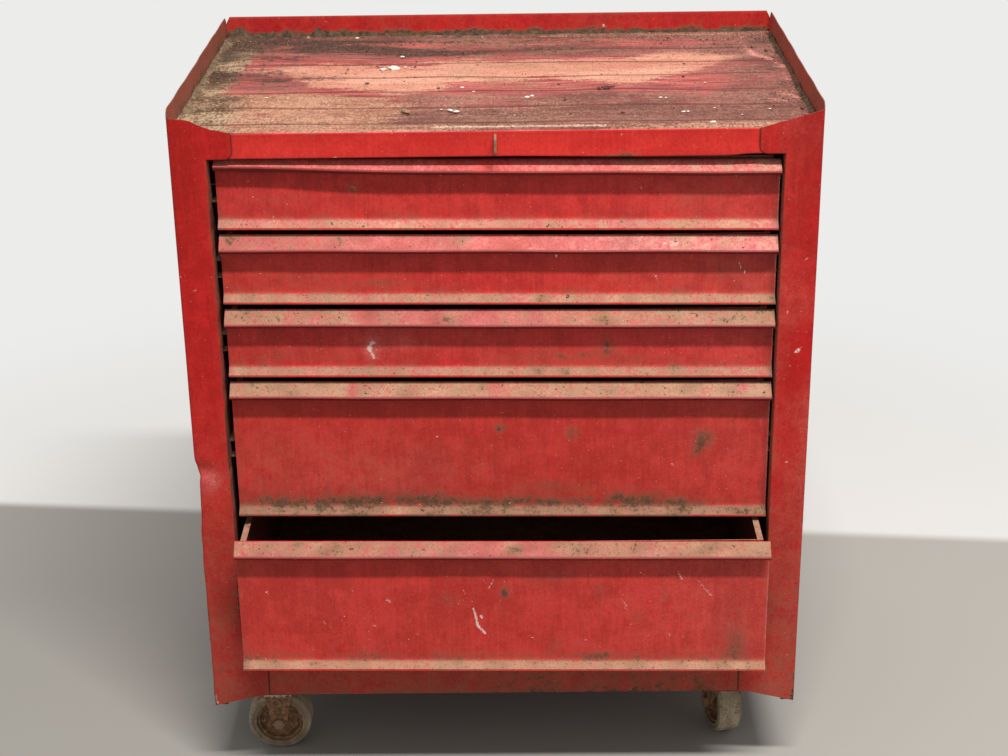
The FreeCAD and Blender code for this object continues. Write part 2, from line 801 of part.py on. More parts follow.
def make_wheel(name, **where):
    """A pressed hub with a bore, web and rim, and the rubber tyre on it, both turned about X."""
    hub = new_body(f"{name}_hub")
    rim_inside = f"({TYRE_INNER} - hub_rim)"
    half_outline = [
        ("hub_length / 2", "axle_radius + running_clearance"),
        ("hub_length / 2", "hub_radius"),
        ("hub_web / 2", "hub_radius"),
        ("hub_web / 2", rim_inside),
        ("hub_rim_width / 2", rim_inside),
        ("hub_rim_width / 2", TYRE_INNER),
    ]
    revolve(hub, half_outline + [(minus(x), radius) for x, radius in reversed(half_outline)])
    keep(hub, **where)
    tyre = new_body(f"{name}_tyre")
    seat = f"({TYRE_INNER} + running_clearance)"
    edge = "(tyre_width / 2)"
    tread_edge = f"({edge} - tyre_shoulder)"
    shoulder = "(wheel_radius - tyre_shoulder)"
    section = [
        (minus(edge), seat),
        (edge, seat),
        (edge, shoulder),
        (tread_edge, "wheel_radius", tread_edge, shoulder, "tyre_shoulder"),
        (minus(tread_edge), "wheel_radius"),
        (minus(edge), shoulder, minus(tread_edge), shoulder, "tyre_shoulder"),
    ]
    revolve(tyre, section)
    keep(tyre, **where)


def make_rigid_caster(end, x, along):
    """A caster whose wheel only rolls sideways: its axle points front to back."""
    name = f"rigid_caster_{end}"
    y = f"({FRONT_PLANE} + {along})"
    quarter_turn = "90"
    bracket = new_body(f"{name}_bracket")
    caster_plate(bracket)
    caster_legs(bracket, "plate_wall / 2", "leg_root", "leg_root", "0")
    keep(bracket, x=x, y=y, z="mounting_height", heading=quarter_turn)
    make_axle(f"{name}_axle", x=x, y=y, z="wheel_radius", heading=quarter_turn)
    make_wheel(name, x=x, y=y, z="wheel_radius", heading=quarter_turn)


def make_swivel_caster(end, x, along):
    """A caster whose fork turns about a kingpin on a ring of balls. The wheel trails behind the pin."""
    name = f"swivel_caster_{end}"
    heading = f"{end}_heading"
    y = f"({FRONT_PLANE} + {along})"
    pin_hole = ("0", "0", "kingpin_radius + running_clearance")
    plate = new_body(f"{name}_plate")
    caster_plate(plate, pin_hole)
    keep(plate, x=x, y=y, z="mounting_height")

    kingpin = new_body(f"{name}_kingpin")
    pin_top = "(plate_wall / 2)"
    pad(kingpin, "Z", minus(PIN_BOTTOM), f"{PIN_BOTTOM} - {pin_top}", circles=[("0", "0", "kingpin_radius")])
    pad(kingpin, "Z", minus(PIN_BOTTOM), "kingpin_head", circles=[("0", "0", "kingpin_head_radius")])
    keep(kingpin, x=x, y=y, z="mounting_height")

    balls = []
    for k in range(BALL_COUNT):
        ball = document.addObject("Part::Sphere", f"{name}_ball_{k + 1}")
        ball.setExpression("Radius", bound("ball_radius"))
        turn = f"({360 // BALL_COUNT} * {k})"
        place(
            ball,
            x=f"ball_ring_radius * cos({turn})",
            y=f"ball_ring_radius * sin({turn})",
            z="0 - plate_wall - ball_gap - ball_radius",
        )
        balls.append(ball)
    keep(group(f"{name}_balls", balls), x=x, y=y, z="mounting_height", heading=heading)

    fork = new_body(f"{name}_fork")
    pad(fork, "Z", minus(CROWN_BOTTOM), "crown_wall", circles=[("0", "0", "crown_radius"), pin_hole])
    lip = [("0", "0", "crown_radius"), ("0", "0", "crown_radius - crown_lip")]
    pad(fork, "Z", minus(CROWN_TOP), "crown_lip_height", circles=lip)
    caster_legs(fork, f"({CROWN_TOP} + crown_wall / 2)", "fork_root_front", "fork_root_back", "trail")
    keep(fork, x=x, y=y, z="mounting_height", heading=heading)

    wheel_x = f"({x} - trail * sin({heading}))"
    wheel_y = f"({y} + trail * cos({heading}))"
    make_axle(f"{name}_axle", x=wheel_x, y=wheel_y, z="wheel_radius", heading=heading)
    make_wheel(name, x=wheel_x, y=wheel_y, z="wheel_radius", heading=heading)


def check_pieces():
    """Stops the build if any object failed or any sub-part has no valid solid."""
    for item in document.Objects:
        if "Invalid" in item.State or "Error" in item.State:
            raise RuntimeError(f"{item.Label} failed: {item.State}")
    for piece in parts:
        shape = piece.Shape
        if shape.isNull() or not shape.isValid() or not shape.Solids:
            raise RuntimeError(f"{piece.Label} has no valid solid")


def write_pieces():
    os.makedirs("parts", exist_ok=True)
    for piece in parts:
        piece.Shape.exportStep(f"parts/{piece.Label}.step")
        count = len(piece.Shape.Solids)
        print(f"{piece.Label}: {count} solids, {piece.Shape.Volume:.0f} mm3")
    print(f"{len(parts)} nodes")


fill_sheet()
for side_name in SIDES:
    make_side_panel(side_name)
make_top_tray()
make_back_panel()
make_back_panel_screws()
make_bottom_rail()
make_bottom_pan()
for end_name in ("front", "rear"):
    for side_name in SIDES:
        make_upright(end_name, side_name)
for drawer_number, drawer_units in enumerate(DRAWER_UNITS, start=1):
    make_drawer(drawer_number, drawer_units)
make_padlock_eye()
for side_name in SIDES:
    make_caster_channel(side_name)
make_caster_bolts()
for side_name, end_name, caster_x, caster_along in caster_places():
    make_caster = make_rigid_caster if side_name == "left" else make_swivel_caster
    make_caster(end_name, caster_x, caster_along)
document.recompute()
check_pieces()
write_pieces()
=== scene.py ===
"""A worn roller tool cabinet: folded red sheet steel, five drawers and four casters.

Lengths below are millimetres. A point is (x, q, z): x to the right, q back from the front plane of the
posts and z up from the floor. Meshes are written in metres, in the part's own frame.
"""
import math

import bpy
import numpy as np
from mathutils import Matrix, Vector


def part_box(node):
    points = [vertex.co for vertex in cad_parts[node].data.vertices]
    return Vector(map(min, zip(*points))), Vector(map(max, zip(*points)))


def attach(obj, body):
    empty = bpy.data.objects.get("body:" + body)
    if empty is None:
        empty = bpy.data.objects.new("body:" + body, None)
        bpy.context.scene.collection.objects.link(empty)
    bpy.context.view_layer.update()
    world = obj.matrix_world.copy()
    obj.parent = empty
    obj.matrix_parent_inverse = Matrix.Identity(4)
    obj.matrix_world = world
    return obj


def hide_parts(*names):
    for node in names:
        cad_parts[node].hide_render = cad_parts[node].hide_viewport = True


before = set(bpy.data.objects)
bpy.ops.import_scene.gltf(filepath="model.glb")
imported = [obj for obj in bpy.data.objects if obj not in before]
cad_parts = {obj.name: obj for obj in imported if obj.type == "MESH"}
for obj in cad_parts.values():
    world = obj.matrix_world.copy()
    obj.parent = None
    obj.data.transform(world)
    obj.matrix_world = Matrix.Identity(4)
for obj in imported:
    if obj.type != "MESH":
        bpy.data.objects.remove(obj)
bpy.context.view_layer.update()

MM = 0.001
FRONT_PLANE = -197.75
HALF_WIDTH = 336.5
DEPTH = 445.0
TRAY = 780.0
RIM_TOP = 805.0
OPENING_TOP = 752.0
OPENING_BOTTOM = 161.9
RAIL_BOTTOM = 107.9
POST_BOTTOM = 95.0
POST_WIDTH = 38.5
TAB = 65.0
TAB_ROUND = 8.0
SEAM = HALF_WIDTH - TAB
WALL = 1.0
BEADS = [34.0 + 65.0 * k for k in range(6)]
BEAD_HALF = 312.5
FRONT_LEFT, FRONT_RIGHT = -292.5, 295.5
RECESS = 16.0
LIP = 3.0
DRAWER_TILT = 3.4
BOTTOM_DRAWER_OPEN = 52.0
WELD = 0.02
SIDES = {"left": -1, "right": 1}


# Shapes: arrays of points, and the meshes made from them

def waves(a, b, size, seed):
    """A smooth random height from about -1 to 1 over a and b: twelve sine waves of random direction,
    phase and length are added, each about size long."""
    draw = np.random.default_rng(seed)
    turns, phases, counts = (draw.uniform(low, high, 12) for low, high in ((0, 6.28), (0, 6.28), (0.6, 1.9)))
    total = 0.0
    for turn, phase, count in zip(turns, phases, counts):
        total = total + np.sin((a * np.cos(turn) + b * np.sin(turn)) * 6.283 * count / size + phase)
    return total / 4.5


def smooth(value, low, high):
    """Rises from 0 at low to 1 at high along an even S-curve."""
    t = np.clip((np.asarray(value, float) - low) / (high - low), 0, 1)
    return t * t * (3 - 2 * t)


def plateau(value, start, full, until, end):
    """Rises from 0 at start to 1 at full, stays, and falls from until to 0 at end."""
    return smooth(value, start, full) * (1 - smooth(value, until, end))


def bump(value, middle, reach):
    """A soft hill, 1 at the middle and 0 from reach away."""
    return 1 - smooth(np.abs(np.asarray(value, float) - middle), 0, reach)


def bell(distance, reach):
    """1 at distance 0, and less along a bell curve: 0.37 at reach."""
    return np.exp(-((distance / reach) ** 2))


def rounded_path(corners, radii, step, turns=4):
    """A path through the corners: each inner corner becomes an arc of its radius in some even turns,
    and each straight run is cut into equal lengths near step. Gives the points, and for each the
    number of its run."""
    corners = np.asarray(corners, float)
    starts, runs, points = [], [], []
    for before, corner, after, radius in zip(corners, corners[1:], corners[2:], radii):
        back = (before - corner) / np.linalg.norm(before - corner)
        on = (after - corner) / np.linalg.norm(after - corner)
        half = math.acos(np.clip(back @ on, -1, 1)) / 2
        middle = corner + (back + on) / np.linalg.norm(back + on) * radius / math.sin(half)
        reach, sweep = radius / math.tan(half), math.pi - 2 * half
        first, last = corner + back * reach, corner + on * reach
        share = np.linspace(0, 1, turns + 1)[:, None]
        arc = np.sin((1 - share) * sweep) * (first - middle) + np.sin(share * sweep) * (last - middle)
        starts.append((first, middle + arc / math.sin(sweep)))
    here = corners[0]
    for k, (first, arc) in enumerate(starts + [(corners[-1], np.empty((0, 2)))]):
        count = max(1, round(np.linalg.norm(first - here) / step))
        points.append(here + (first - here) * np.linspace(0, 1, count + 1)[: -1 if len(arc) else None, None])
        runs.append(np.full(len(points[-1]), float(k)))
        if len(arc):
            points.append(arc[:-1])
            runs.append(np.full(len(arc) - 1, k + 0.5))
            here = arc[-1]
    return np.concatenate(points), np.concatenate(runs)


def cells(rows, columns, wrap_rows=False, wrap_columns=False):
    """The four corners of each cell of a grid whose points are numbered row by row."""
    r = np.arange(rows if wrap_rows else rows - 1)[:, None]
    c = np.arange(columns if wrap_columns else columns - 1)[None, :]
    up, across = (r + 1) % rows, (c + 1) % columns
    corners = [r * columns + c, r * columns + across, up * columns + across, up * columns + c]
    return np.stack(np.broadcast_arrays(*corners), -1).reshape(-1, 4)


def patch(points, finish=(0, 0, 0), flip=False, **wraps):
    """A grid of points with its cells and its finish: dust, grime, wear and tan, then pale marks, spots
    and painted shade with other darkening, each from 0 to 1."""
    rows, columns = points.shape[:2]
    faces = cells(rows, columns, **wraps)
    finish = np.clip(np.stack([np.broadcast_to(f, (rows, columns)) for f in finish], -1), 0, 1)
    if flip:
        faces = faces[:, ::-1]
    return points.reshape(-1, 3), faces, finish.reshape(-1, finish.shape[-1])


def joined(patches):
    """Puts patches together. Points that fall on the same place become one."""
    count = np.cumsum([0] + [len(p[0]) for p in patches[:-1]])
    points = np.concatenate([p[0] for p in patches])
    faces = np.concatenate([p[1] + start for p, start in zip(patches, count)])
    finish = np.concatenate([p[2] for p in patches])
    places = np.round(points / WELD).astype(np.int64)
    _, first, place = np.unique(places, axis=0, return_index=True, return_inverse=True)
    return points[first], place.reshape(-1)[faces], finish[first]


def normals_of(points, faces):
    """At each point, the mean direction of the faces around it."""
    a, b, c, d = (points[faces[:, k]] for k in range(4))
    across = np.cross(c - a, d - b)
    total = np.zeros_like(points)
    for k in range(4):
        np.add.at(total, faces[:, k], across)
    return total / np.maximum(np.linalg.norm(total, axis=1, keepdims=True), 1e-12)


def make_piece(
    name, points, faces, finish, materials, nodes=(), body="case", slot="red_enamel", kinds=None, sharp=35,
):
    """Writes a closed mesh from points in millimetres, turns it right side out, and hands it to its
    body. Faces that meet at less than the sharp angle are shaded as one surface."""
    a, b, c, d = (points[faces[:, k]] for k in range(4))
    volume = np.einsum("ij,ij->", a, np.cross(b, c)) + np.einsum("ij,ij->", a, np.cross(c, d))
    if volume < 0:
        faces = faces[:, ::-1]
    mesh = bpy.data.meshes.new(name)
    placed = (points + (0, FRONT_PLANE, 0)) * MM
    mesh.vertices.add(len(placed))
    mesh.vertices.foreach_set("co", placed.astype(np.float32).ravel())
    mesh.loops.add(faces.size)
    mesh.loops.foreach_set("vertex_index", faces.astype(np.int32).ravel())
    mesh.polygons.add(len(faces))
    mesh.polygons.foreach_set("loop_start", np.arange(0, faces.size, 4, dtype=np.int32))
    mesh.polygons.foreach_set("loop_total", np.full(len(faces), 4, np.int32))
    if kinds is not None:
        mesh.polygons.foreach_set("material_index", np.asarray(kinds, np.int32))
    mesh.update(calc_edges=True)
    mesh.validate()
    held = np.zeros((len(points), 8), np.float32)
    held[:, : finish.shape[1]] = finish
    for layer, columns in (("finish", held[:, :4]), ("marks", held[:, 4:])):
        mesh.attributes.new(layer, "FLOAT_COLOR", "POINT").data.foreach_set("color", columns.ravel())
    mesh.polygons.foreach_set("use_smooth", np.ones(len(mesh.polygons), bool))
    mesh.set_sharp_from_angle(angle=math.radians(sharp))
    piece = bpy.data.objects.new(name, mesh)
    bpy.context.scene.collection.objects.link(piece)
    for material in materials:
        mesh.materials.append(material)
    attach(piece, body)
    if nodes:
        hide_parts(*nodes)


def shell(outer, inner, faces):
    """The closed skin of two surfaces with the same cells: both of them, and a border that joins their
    open edges. Gives the points, the faces and how many of these are the border's."""
    count = len(outer)
    sides = np.concatenate([faces[:, [k, (k + 1) % 4]] for k in range(4)])
    _, first, used = np.unique(np.sort(sides, axis=1), axis=0, return_index=True, return_counts=True)
    rim = sides[first[used == 1]]
    border = np.stack([rim[:, 1], rim[:, 0], rim[:, 0] + count, rim[:, 1] + count], -1)
    faces = np.concatenate([faces, faces[:, ::-1] + count, border])
    return np.concatenate([outer, inner]), faces, len(border)


def folded_sheet(name, patches, node, materials, body="case", wall=WALL, behind=None):
    """A sheet of steel: its outer surface is given, and the inner one lies a wall behind it along the
    normals. The cut edge all round joins the two, and has the last material. behind gives the inner
    surface its own finish."""
    points, faces, finish = joined(patches)
    inner = points - wall * normals_of(points, faces)
    inner_finish = finish if behind is None else behind(inner, finish)
    points, faces, border = shell(points, inner, faces)
    finish = np.concatenate([finish, inner_finish])
    kinds = np.zeros(len(faces), int)
    kinds[-border:] = len(materials) - 1
    make_piece(name, points, faces, finish, materials, [node], body, kinds=kinds)


def carried_along_x(path, xs):
    """A path of (q, z) points repeated at each x: one row for each point of the path."""
    points = np.empty((len(path), len(xs), 3))
    points[..., 0] = xs
    points[..., 1] = path[:, :1]
    points[..., 2] = path[:, 1:]
    return points


# Materials: each one is a node tree on object coordinates, in metres

class Nodes:
    """Adds nodes to one tree. A value that is a socket is linked, and any other is written on the input.
    A term of a sum is a value and its share, or a value alone."""

    def __init__(self, tree):
        self.tree = tree

    def add(self, kind, inputs=None, **settings):
        node = self.tree.nodes.new("ShaderNode" + kind)
        for key, setting in settings.items():
            setattr(node, key, setting)
        for key, source in (inputs or {}).items():
            self.fill(node.inputs[key], source)
        return node

    def fill(self, socket, source):
        if isinstance(source, bpy.types.NodeSocket):
            self.tree.links.new(source, socket)
        else:
            socket.default_value = (*source, 1.0) if socket.type == "RGBA" and len(source) == 3 else source

    def maths(self, operation, a, b=0.0, clamp=False):
        return self.add("Math", {0: a, 1: b}, operation=operation, use_clamp=clamp).outputs[0]

    def times(self, a, b):
        """The product, kept between 0 and 1."""
        return self.maths("MULTIPLY", a, b, clamp=True)

    def total(self, *terms):
        result = 0.0
        for term in terms:
            source, share = term if isinstance(term, tuple) else (term, 1.0)
            result = self.add("Math", {0: source, 1: share, 2: result}, operation="MULTIPLY_ADD").outputs[0]
        return result

    def rise(self, low, high, *terms, into=(0.0, 1.0)):
        """An even S-curve, as the sum of the terms goes from low to high."""
        value = self.total(*terms) if len(terms) > 1 else terms[0]
        inputs = {"Value": value, "From Min": low, "From Max": high, "To Min": into[0], "To Max": into[1]}
        return self.add("MapRange", inputs, interpolation_type="SMOOTHSTEP").outputs[0]

    def mix(self, factor, a, b):
        return self.add("Mix", {0: factor, 6: a, 7: b}, data_type="RGBA").outputs[2]

    def mix_value(self, factor, a, b):
        return self.add("Mix", {0: factor, 2: a, 3: b}).outputs[0]

    def blend(self, dark, light, low, high, *terms):
        """From a dark colour to a light one, as the sum of the terms goes from low to high."""
        return self.mix(self.rise(low, high, *terms), dark, light)

    def coat(self, colour, mask, share, coating):
        """Lays a coating over a colour, as thick as the mask times its share."""
        return self.mix(self.maths("MULTIPLY", mask, share), colour, coating)

    def scaled(self, colour, *terms):
        """A colour made lighter or darker by a sum of terms."""
        return self.add("VectorMath", {0: colour, "Scale": self.total(*terms)}, operation="SCALE").outputs[0]

    def position(self):
        """The object coordinates X, Y and Z."""
        return self.add("SeparateXYZ", {0: self.add("TexCoord").outputs["Object"]}).outputs

    def noise(self, scale, detail, roughness=0.6, stretch=(1.0, 1.0, 1.0), shift=(0.0, 0.0, 0.0)):
        """Noise from 0 to 1. A stretch below 1 along an axis draws it out along that axis."""
        where = self.add("TexCoord").outputs["Object"]
        where = self.add("Mapping", {"Vector": where, "Location": shift, "Scale": stretch}).outputs[0]
        inputs = {"Vector": where, "Scale": scale, "Detail": detail, "Roughness": roughness}
        return self.add("TexNoise", inputs).outputs[0]

    def spread(self, *noise, **placed):
        """How far a noise lies from its middle value."""
        return self.maths("SUBTRACT", self.noise(*noise, **placed), 0.5)

    def group(self, tree, **inputs):
        node = self.add("Group", node_tree=tree)
        for key, source in inputs.items():
            self.fill(node.inputs[key.replace("_", " ").capitalize()], source)
        return node.outputs


def new_group(name, inputs, outputs):
    """An empty shader group with named sockets: its nodes, what comes in and what goes out."""
    tree = bpy.data.node_groups.new(name, "ShaderNodeTree")
    for key, start in inputs.items():
        kind = "NodeSocketColor" if isinstance(start, tuple) else "NodeSocketFloat"
        socket = tree.interface.new_socket(name=key, in_out="INPUT", socket_type=kind)
        socket.default_value = (*start, 1.0) if isinstance(start, tuple) else start
    for key, kind in outputs.items():
        tree.interface.new_socket(name=key, in_out="OUTPUT", socket_type=kind)
    given, out = tree.nodes.new("NodeGroupInput").outputs, tree.nodes.new("NodeGroupOutput").inputs
    return tree, Nodes(tree), given, out


def make_aged_group():
    """An old finish. The paint varies a little; dust lies on it, from fresh to tan; grime films it and
    gathers in spots; specks cover it; worn places show the primer and rust; and a darkening mask makes
    it darker: painted shade in folds, hems and under edges, and dark seams and duller parts."""
    tree, nodes, given, out = new_group(
        "aged finish",
        {
            "Paint": (0.5, 0.02, 0.02), "Deep paint": (0.3, 0.01, 0.01), "Dust": 0.0,
            "Dust colour": (0.5, 0.3, 0.2), "Tan": 0.0, "Tan colour": (0.45, 0.28, 0.17), "Grime": 0.0,
            "Film colour": (0.2, 0.11, 0.07), "Grime colour": (0.04, 0.02, 0.015), "Wear": 0.0,
            "Wear colour": (0.1, 0.05, 0.03), "Pale": 0.0, "Spots": 0.0, "Sheltered": 0.0, "Specks": 1.0,
            "Gloss": 0.4,
        },
        {"Color": "NodeSocketColor", "Roughness": "NodeSocketFloat", "Height": "NodeSocketFloat"},
    )
    broad = nodes.spread(9.0, 3.0)
    middle = nodes.spread(45.0, 7.0, 0.68)
    mottle = nodes.spread(125.0, 6.0, 0.68, shift=(0.2, 0.3, 0.1))
    fine = nodes.spread(330.0, 5.0, 0.7)
    streaks = nodes.spread(260.0, 5.0, 0.65, (1.0, 1.0, 0.1))
    paint = nodes.blend(
        given["Deep paint"], given["Paint"], -0.12, 0.12, (broad, 0.55), (middle, 0.75), (streaks, 0.3),
    )
    paint = nodes.scaled(paint, (fine, 0.7), (streaks, 0.3), 1.0)
    uneven = nodes.total((middle, 1.7), (mottle, 1.3), (fine, 1.6), (streaks, 0.3), 1.0)
    dust = nodes.times(given["Dust"], uneven)
    tan = nodes.rise(0.25, 0.75, given["Tan"], (broad, 0.7), (middle, 1.2), (mottle, 1.2))
    powder = nodes.mix(tan, given["Dust colour"], given["Tan colour"])
    colour = nodes.mix(dust, paint, nodes.scaled(powder, fine, (mottle, 0.5), (middle, 0.4), 1.0))
    filmed = nodes.times(given["Grime"], nodes.total((middle, 2.2), (mottle, 2.0), (fine, 1.8), 0.8))
    colour = nodes.mix(filmed, colour, given["Film colour"])
    pale = nodes.rise(0.3, 0.62, given["Pale"], (fine, 1.3), (middle, 0.7))
    colour = nodes.mix(pale, colour, (0.66, 0.44, 0.40))
    spots = nodes.rise(
        0.42, 1.0, given["Spots"], (given["Grime"], 0.5), (middle, 1.1), (mottle, 1.7), (fine, 1.5),
    )
    colour = nodes.coat(colour, spots, 0.9, given["Grime colour"])
    small = nodes.rise(0.650, 0.700, nodes.noise(640.0, 2.0, 0.5))
    large = nodes.rise(0.640, 0.69, nodes.noise(210.0, 4.0, shift=(0.3, 0.1, 0.2)))
    share = nodes.total((given["Dust"], 0.75), (given["Grime"], 0.5), 0.28)
    share = nodes.maths("MULTIPLY", share, given["Specks"])
    specks = nodes.times(nodes.maths("MAXIMUM", small, large), share)
    colour = nodes.mix(specks, colour, given["Grime colour"])
    white = nodes.rise(0.745, 0.765, nodes.noise(480.0, 2.0, 0.5, shift=(0.1, 0.4, 0.3)))
    colour = nodes.mix(nodes.times(white, given["Specks"]), colour, (0.62, 0.45, 0.38))
    worn = nodes.rise(0.45, 0.55, given["Wear"], (fine, 0.9), (middle, 0.7))
    colour = nodes.mix(worn, colour, given["Wear colour"])
    # Painted shade: the colour is darkened where the mask of painted shade and darkening lies.
    nodes.fill(out["Color"], nodes.scaled(colour, (given["Sheltered"], -0.72), 1.0))
    rough = nodes.total(
        given["Gloss"], (dust, 0.35), (filmed, 0.25), (spots, 0.2), (worn, 0.2), (middle, 0.3),
    )
    nodes.fill(out["Roughness"], nodes.maths("MINIMUM", rough, 0.95))
    height = nodes.total(
        (fine, 0.3), (middle, 0.5), (specks, 0.3), (spots, 0.6), (worn, -0.5), (dust, 0.15), (pale, 0.2),
    )
    nodes.fill(out["Height"], height)
    return tree


AGED = make_aged_group()


def held_by_mesh(nodes, layer):
    """The four masks of one layer that a piece's mesh holds."""
    held = nodes.add("Attribute", attribute_name=layer, attribute_type="GEOMETRY").outputs
    parts = nodes.add("SeparateColor", {0: held["Color"]}).outputs
    return parts[0], parts[1], parts[2], held["Alpha"]


def finish_masks(nodes):
    """The masks of a painted piece, by the names that the aged finish gives them."""
    names = ("dust", "grime", "wear", "tan", "pale", "spots", "sheltered")
    return dict(zip(names, held_by_mesh(nodes, "finish") + held_by_mesh(nodes, "marks")))


def up_facing(nodes):
    """How much a face looks up, from 0 to 1."""
    return nodes.add("SeparateXYZ", {0: nodes.add("NewGeometry").outputs["Normal"]}).outputs["Z"]


def finish_material(nodes, colour, roughness, height, bump=0.25, depth=0.0006, metallic=0.0, specular=0.3):
    """Puts colour, roughness and a bump of the height on the shader."""
    normal = nodes.add("Bump", {"Strength": bump, "Distance": depth, "Height": height}).outputs[0]
    inputs = {
        "Base Color": colour, "Roughness": roughness, "Normal": normal, "Specular IOR Level": specular,
        "Metallic": metallic,
    }
    shader = nodes.add("BsdfPrincipled", inputs).outputs[0]
    nodes.add("OutputMaterial", {"Surface": shader})


def new_material(name):
    """An empty material and its nodes."""
    material = bpy.data.materials.new(name)
    material.use_nodes = True
    material.node_tree.nodes.clear()
    return material, Nodes(material.node_tree)


RED = {"paint": (0.52, 0.024, 0.020), "deep_paint": (0.40, 0.016, 0.014)}
POST_RED = {"paint": (0.44, 0.010, 0.010), "deep_paint": (0.36, 0.009, 0.009)}
RAIL_RED = {"paint": (0.58, 0.024, 0.020), "deep_paint": (0.50, 0.019, 0.016)}
# The pale pink dust colour stands in for dust and also for the sheen of light on the red enamel: painted
# sheen as well as dust.
SOIL_AND_SHEEN = {
    "dust_colour": (0.60, 0.20, 0.185), "tan_colour": (0.47, 0.27, 0.175),
    "film_colour": (0.17, 0.085, 0.05), "grime_colour": (0.085, 0.045, 0.024),
    "wear_colour": (0.085, 0.035, 0.022),
}
RUST = {
    "film_colour": (0.14, 0.065, 0.03), "grime_colour": (0.05, 0.026, 0.012),
    "wear_colour": (0.17, 0.065, 0.024),
}


def aged_material(
    name, by_mesh=False, bump=0.25, metallic=0.0, specular=0.22, dust=0.0, dust_up=0.0, grime=0.0, wear=0.0,
    **looks,
):
    """A material of the aged finish. Its masks come from the mesh, or else dust lies where a face looks
    up and the rest is even."""
    material, nodes = new_material(name)
    if by_mesh:
        amounts = finish_masks(nodes)
    else:
        settled = nodes.rise(0.3, 0.9, up_facing(nodes), into=(dust, dust_up))
        amounts = {"dust": settled, "grime": grime, "wear": wear}
    made = nodes.group(AGED, **{**SOIL_AND_SHEEN, **amounts, **looks})
    finish_material(
        nodes, made["Color"], made["Roughness"], made["Height"], bump, metallic=metallic, specular=specular,
    )
    return material


case_enamel = aged_material("case_enamel", True, gloss=0.42, specks=0.6, specular=0.12, **POST_RED)
drawer_enamel = aged_material("drawer_enamel", True, gloss=0.44, **RED)
case_edge = aged_material(
    "case_edge", dust=0.15, dust_up=0.3, grime=0.55, gloss=0.6, paint=(0.10, 0.03, 0.022),
    deep_paint=(0.06, 0.022, 0.016),
)
drawer_edge = aged_material(
    "drawer_edge", dust=0.45, dust_up=0.6, tan=0.7, grime=0.45, gloss=0.6, paint=(0.22, 0.04, 0.03),
    deep_paint=(0.12, 0.03, 0.022),
)
# Painted shade: the inner parts' red is made far darker than the outer enamel, standing in for the shade
# inside the cabinet.
shaded_inner_enamel = aged_material(
    "shaded_inner_enamel", dust=0.1, dust_up=0.75, tan=0.8, grime=0.2, gloss=0.55, paint=(0.13, 0.005, 0.005),
    deep_paint=(0.08, 0.004, 0.004),
)
# Painted shade: the zinc slides are made nearly black, standing in for the shade in the gaps between the
# drawers.
shaded_slide_zinc = aged_material(
    "shaded_slide_zinc", metallic=0.4, specular=0.25, dust=0.03, dust_up=0.12, tan=1.0, grime=0.6, gloss=0.55,
    specks=0.6, paint=(0.040, 0.036, 0.033), deep_paint=(0.022, 0.020, 0.018),
)
screw_steel = aged_material(
    "screw_steel", metallic=0.8, specular=0.5, dust=0.2, dust_up=0.4, tan=1.0, grime=0.3, wear=0.2,
    gloss=0.36, specks=0.6, paint=(0.52, 0.50, 0.46), deep_paint=(0.36, 0.33, 0.29), **RUST,
)
axle_steel = aged_material(
    "axle_steel", metallic=0.2, specular=0.4, dust=0.4, dust_up=0.6, tan=1.0, grime=0.45, wear=0.3,
    gloss=0.6, paint=(0.26, 0.19, 0.13), deep_paint=(0.13, 0.08, 0.05), **RUST,
)
tyre_rubber = aged_material(
    "tyre_rubber", True, gloss=0.72, bump=0.5, specks=0.8, paint=(0.140, 0.118, 0.082),
    deep_paint=(0.085, 0.071, 0.049), dust_colour=(0.50, 0.43, 0.31), tan_colour=(0.40, 0.335, 0.235),
)


def make_caster_material(name, plated_above):
    """Zinc plate that has rusted: the plating is left in flakes above a height, and below it the steel
    is mottled from black to orange brown."""
    material, nodes = new_material(name)
    flaking = nodes.spread(160.0, 6.0, 0.7)
    mottling = nodes.spread(210.0, 5.0, 0.65, shift=(0.4, 0.2, 0.6))
    start, end = (plated_above - 14) * MM, (plated_above + 6) * MM
    level = nodes.rise(start, end, nodes.position()["Z"], into=(-0.32, 0.34))
    plated = nodes.rise(-0.04, 0.05, level, (flaking, 1.8))
    zinc = nodes.group(
        AGED, dust=0.2, tan=1.0, grime=0.3, wear=0.12, gloss=0.42, paint=(0.78, 0.77, 0.73),
        deep_paint=(0.50, 0.48, 0.43), dust_colour=(0.4, 0.34, 0.26), tan_colour=(0.3, 0.22, 0.14), **RUST,
    )
    brown = nodes.blend((0.045, 0.027, 0.016), (0.26, 0.115, 0.050), -0.07, 0.05, mottling)
    brown = nodes.blend(brown, (0.42, 0.27, 0.13), 0.09, 0.16, mottling)
    rust = nodes.group(
        AGED, dust=0.18, tan=0.5, grime=0.3, wear=0.2, gloss=0.7, paint=brown, deep_paint=brown,
        dust_colour=(0.36, 0.24, 0.13), tan_colour=(0.27, 0.17, 0.09), **RUST,
    )
    colour = nodes.mix(plated, rust["Color"], zinc["Color"])
    rough = nodes.rise(0.0, 1.0, plated, into=(0.8, 0.45))
    metal = nodes.rise(0.0, 1.0, plated, into=(0.0, 0.55))
    relief = nodes.total((plated, 0.5), rust["Height"], mottling)
    finish_material(nodes, colour, rough, relief, 0.6, metallic=metal, specular=0.35)
    return material


caster_zinc = make_caster_material("caster_zinc", 79)
hub_rust = make_caster_material("hub_rust", 200)


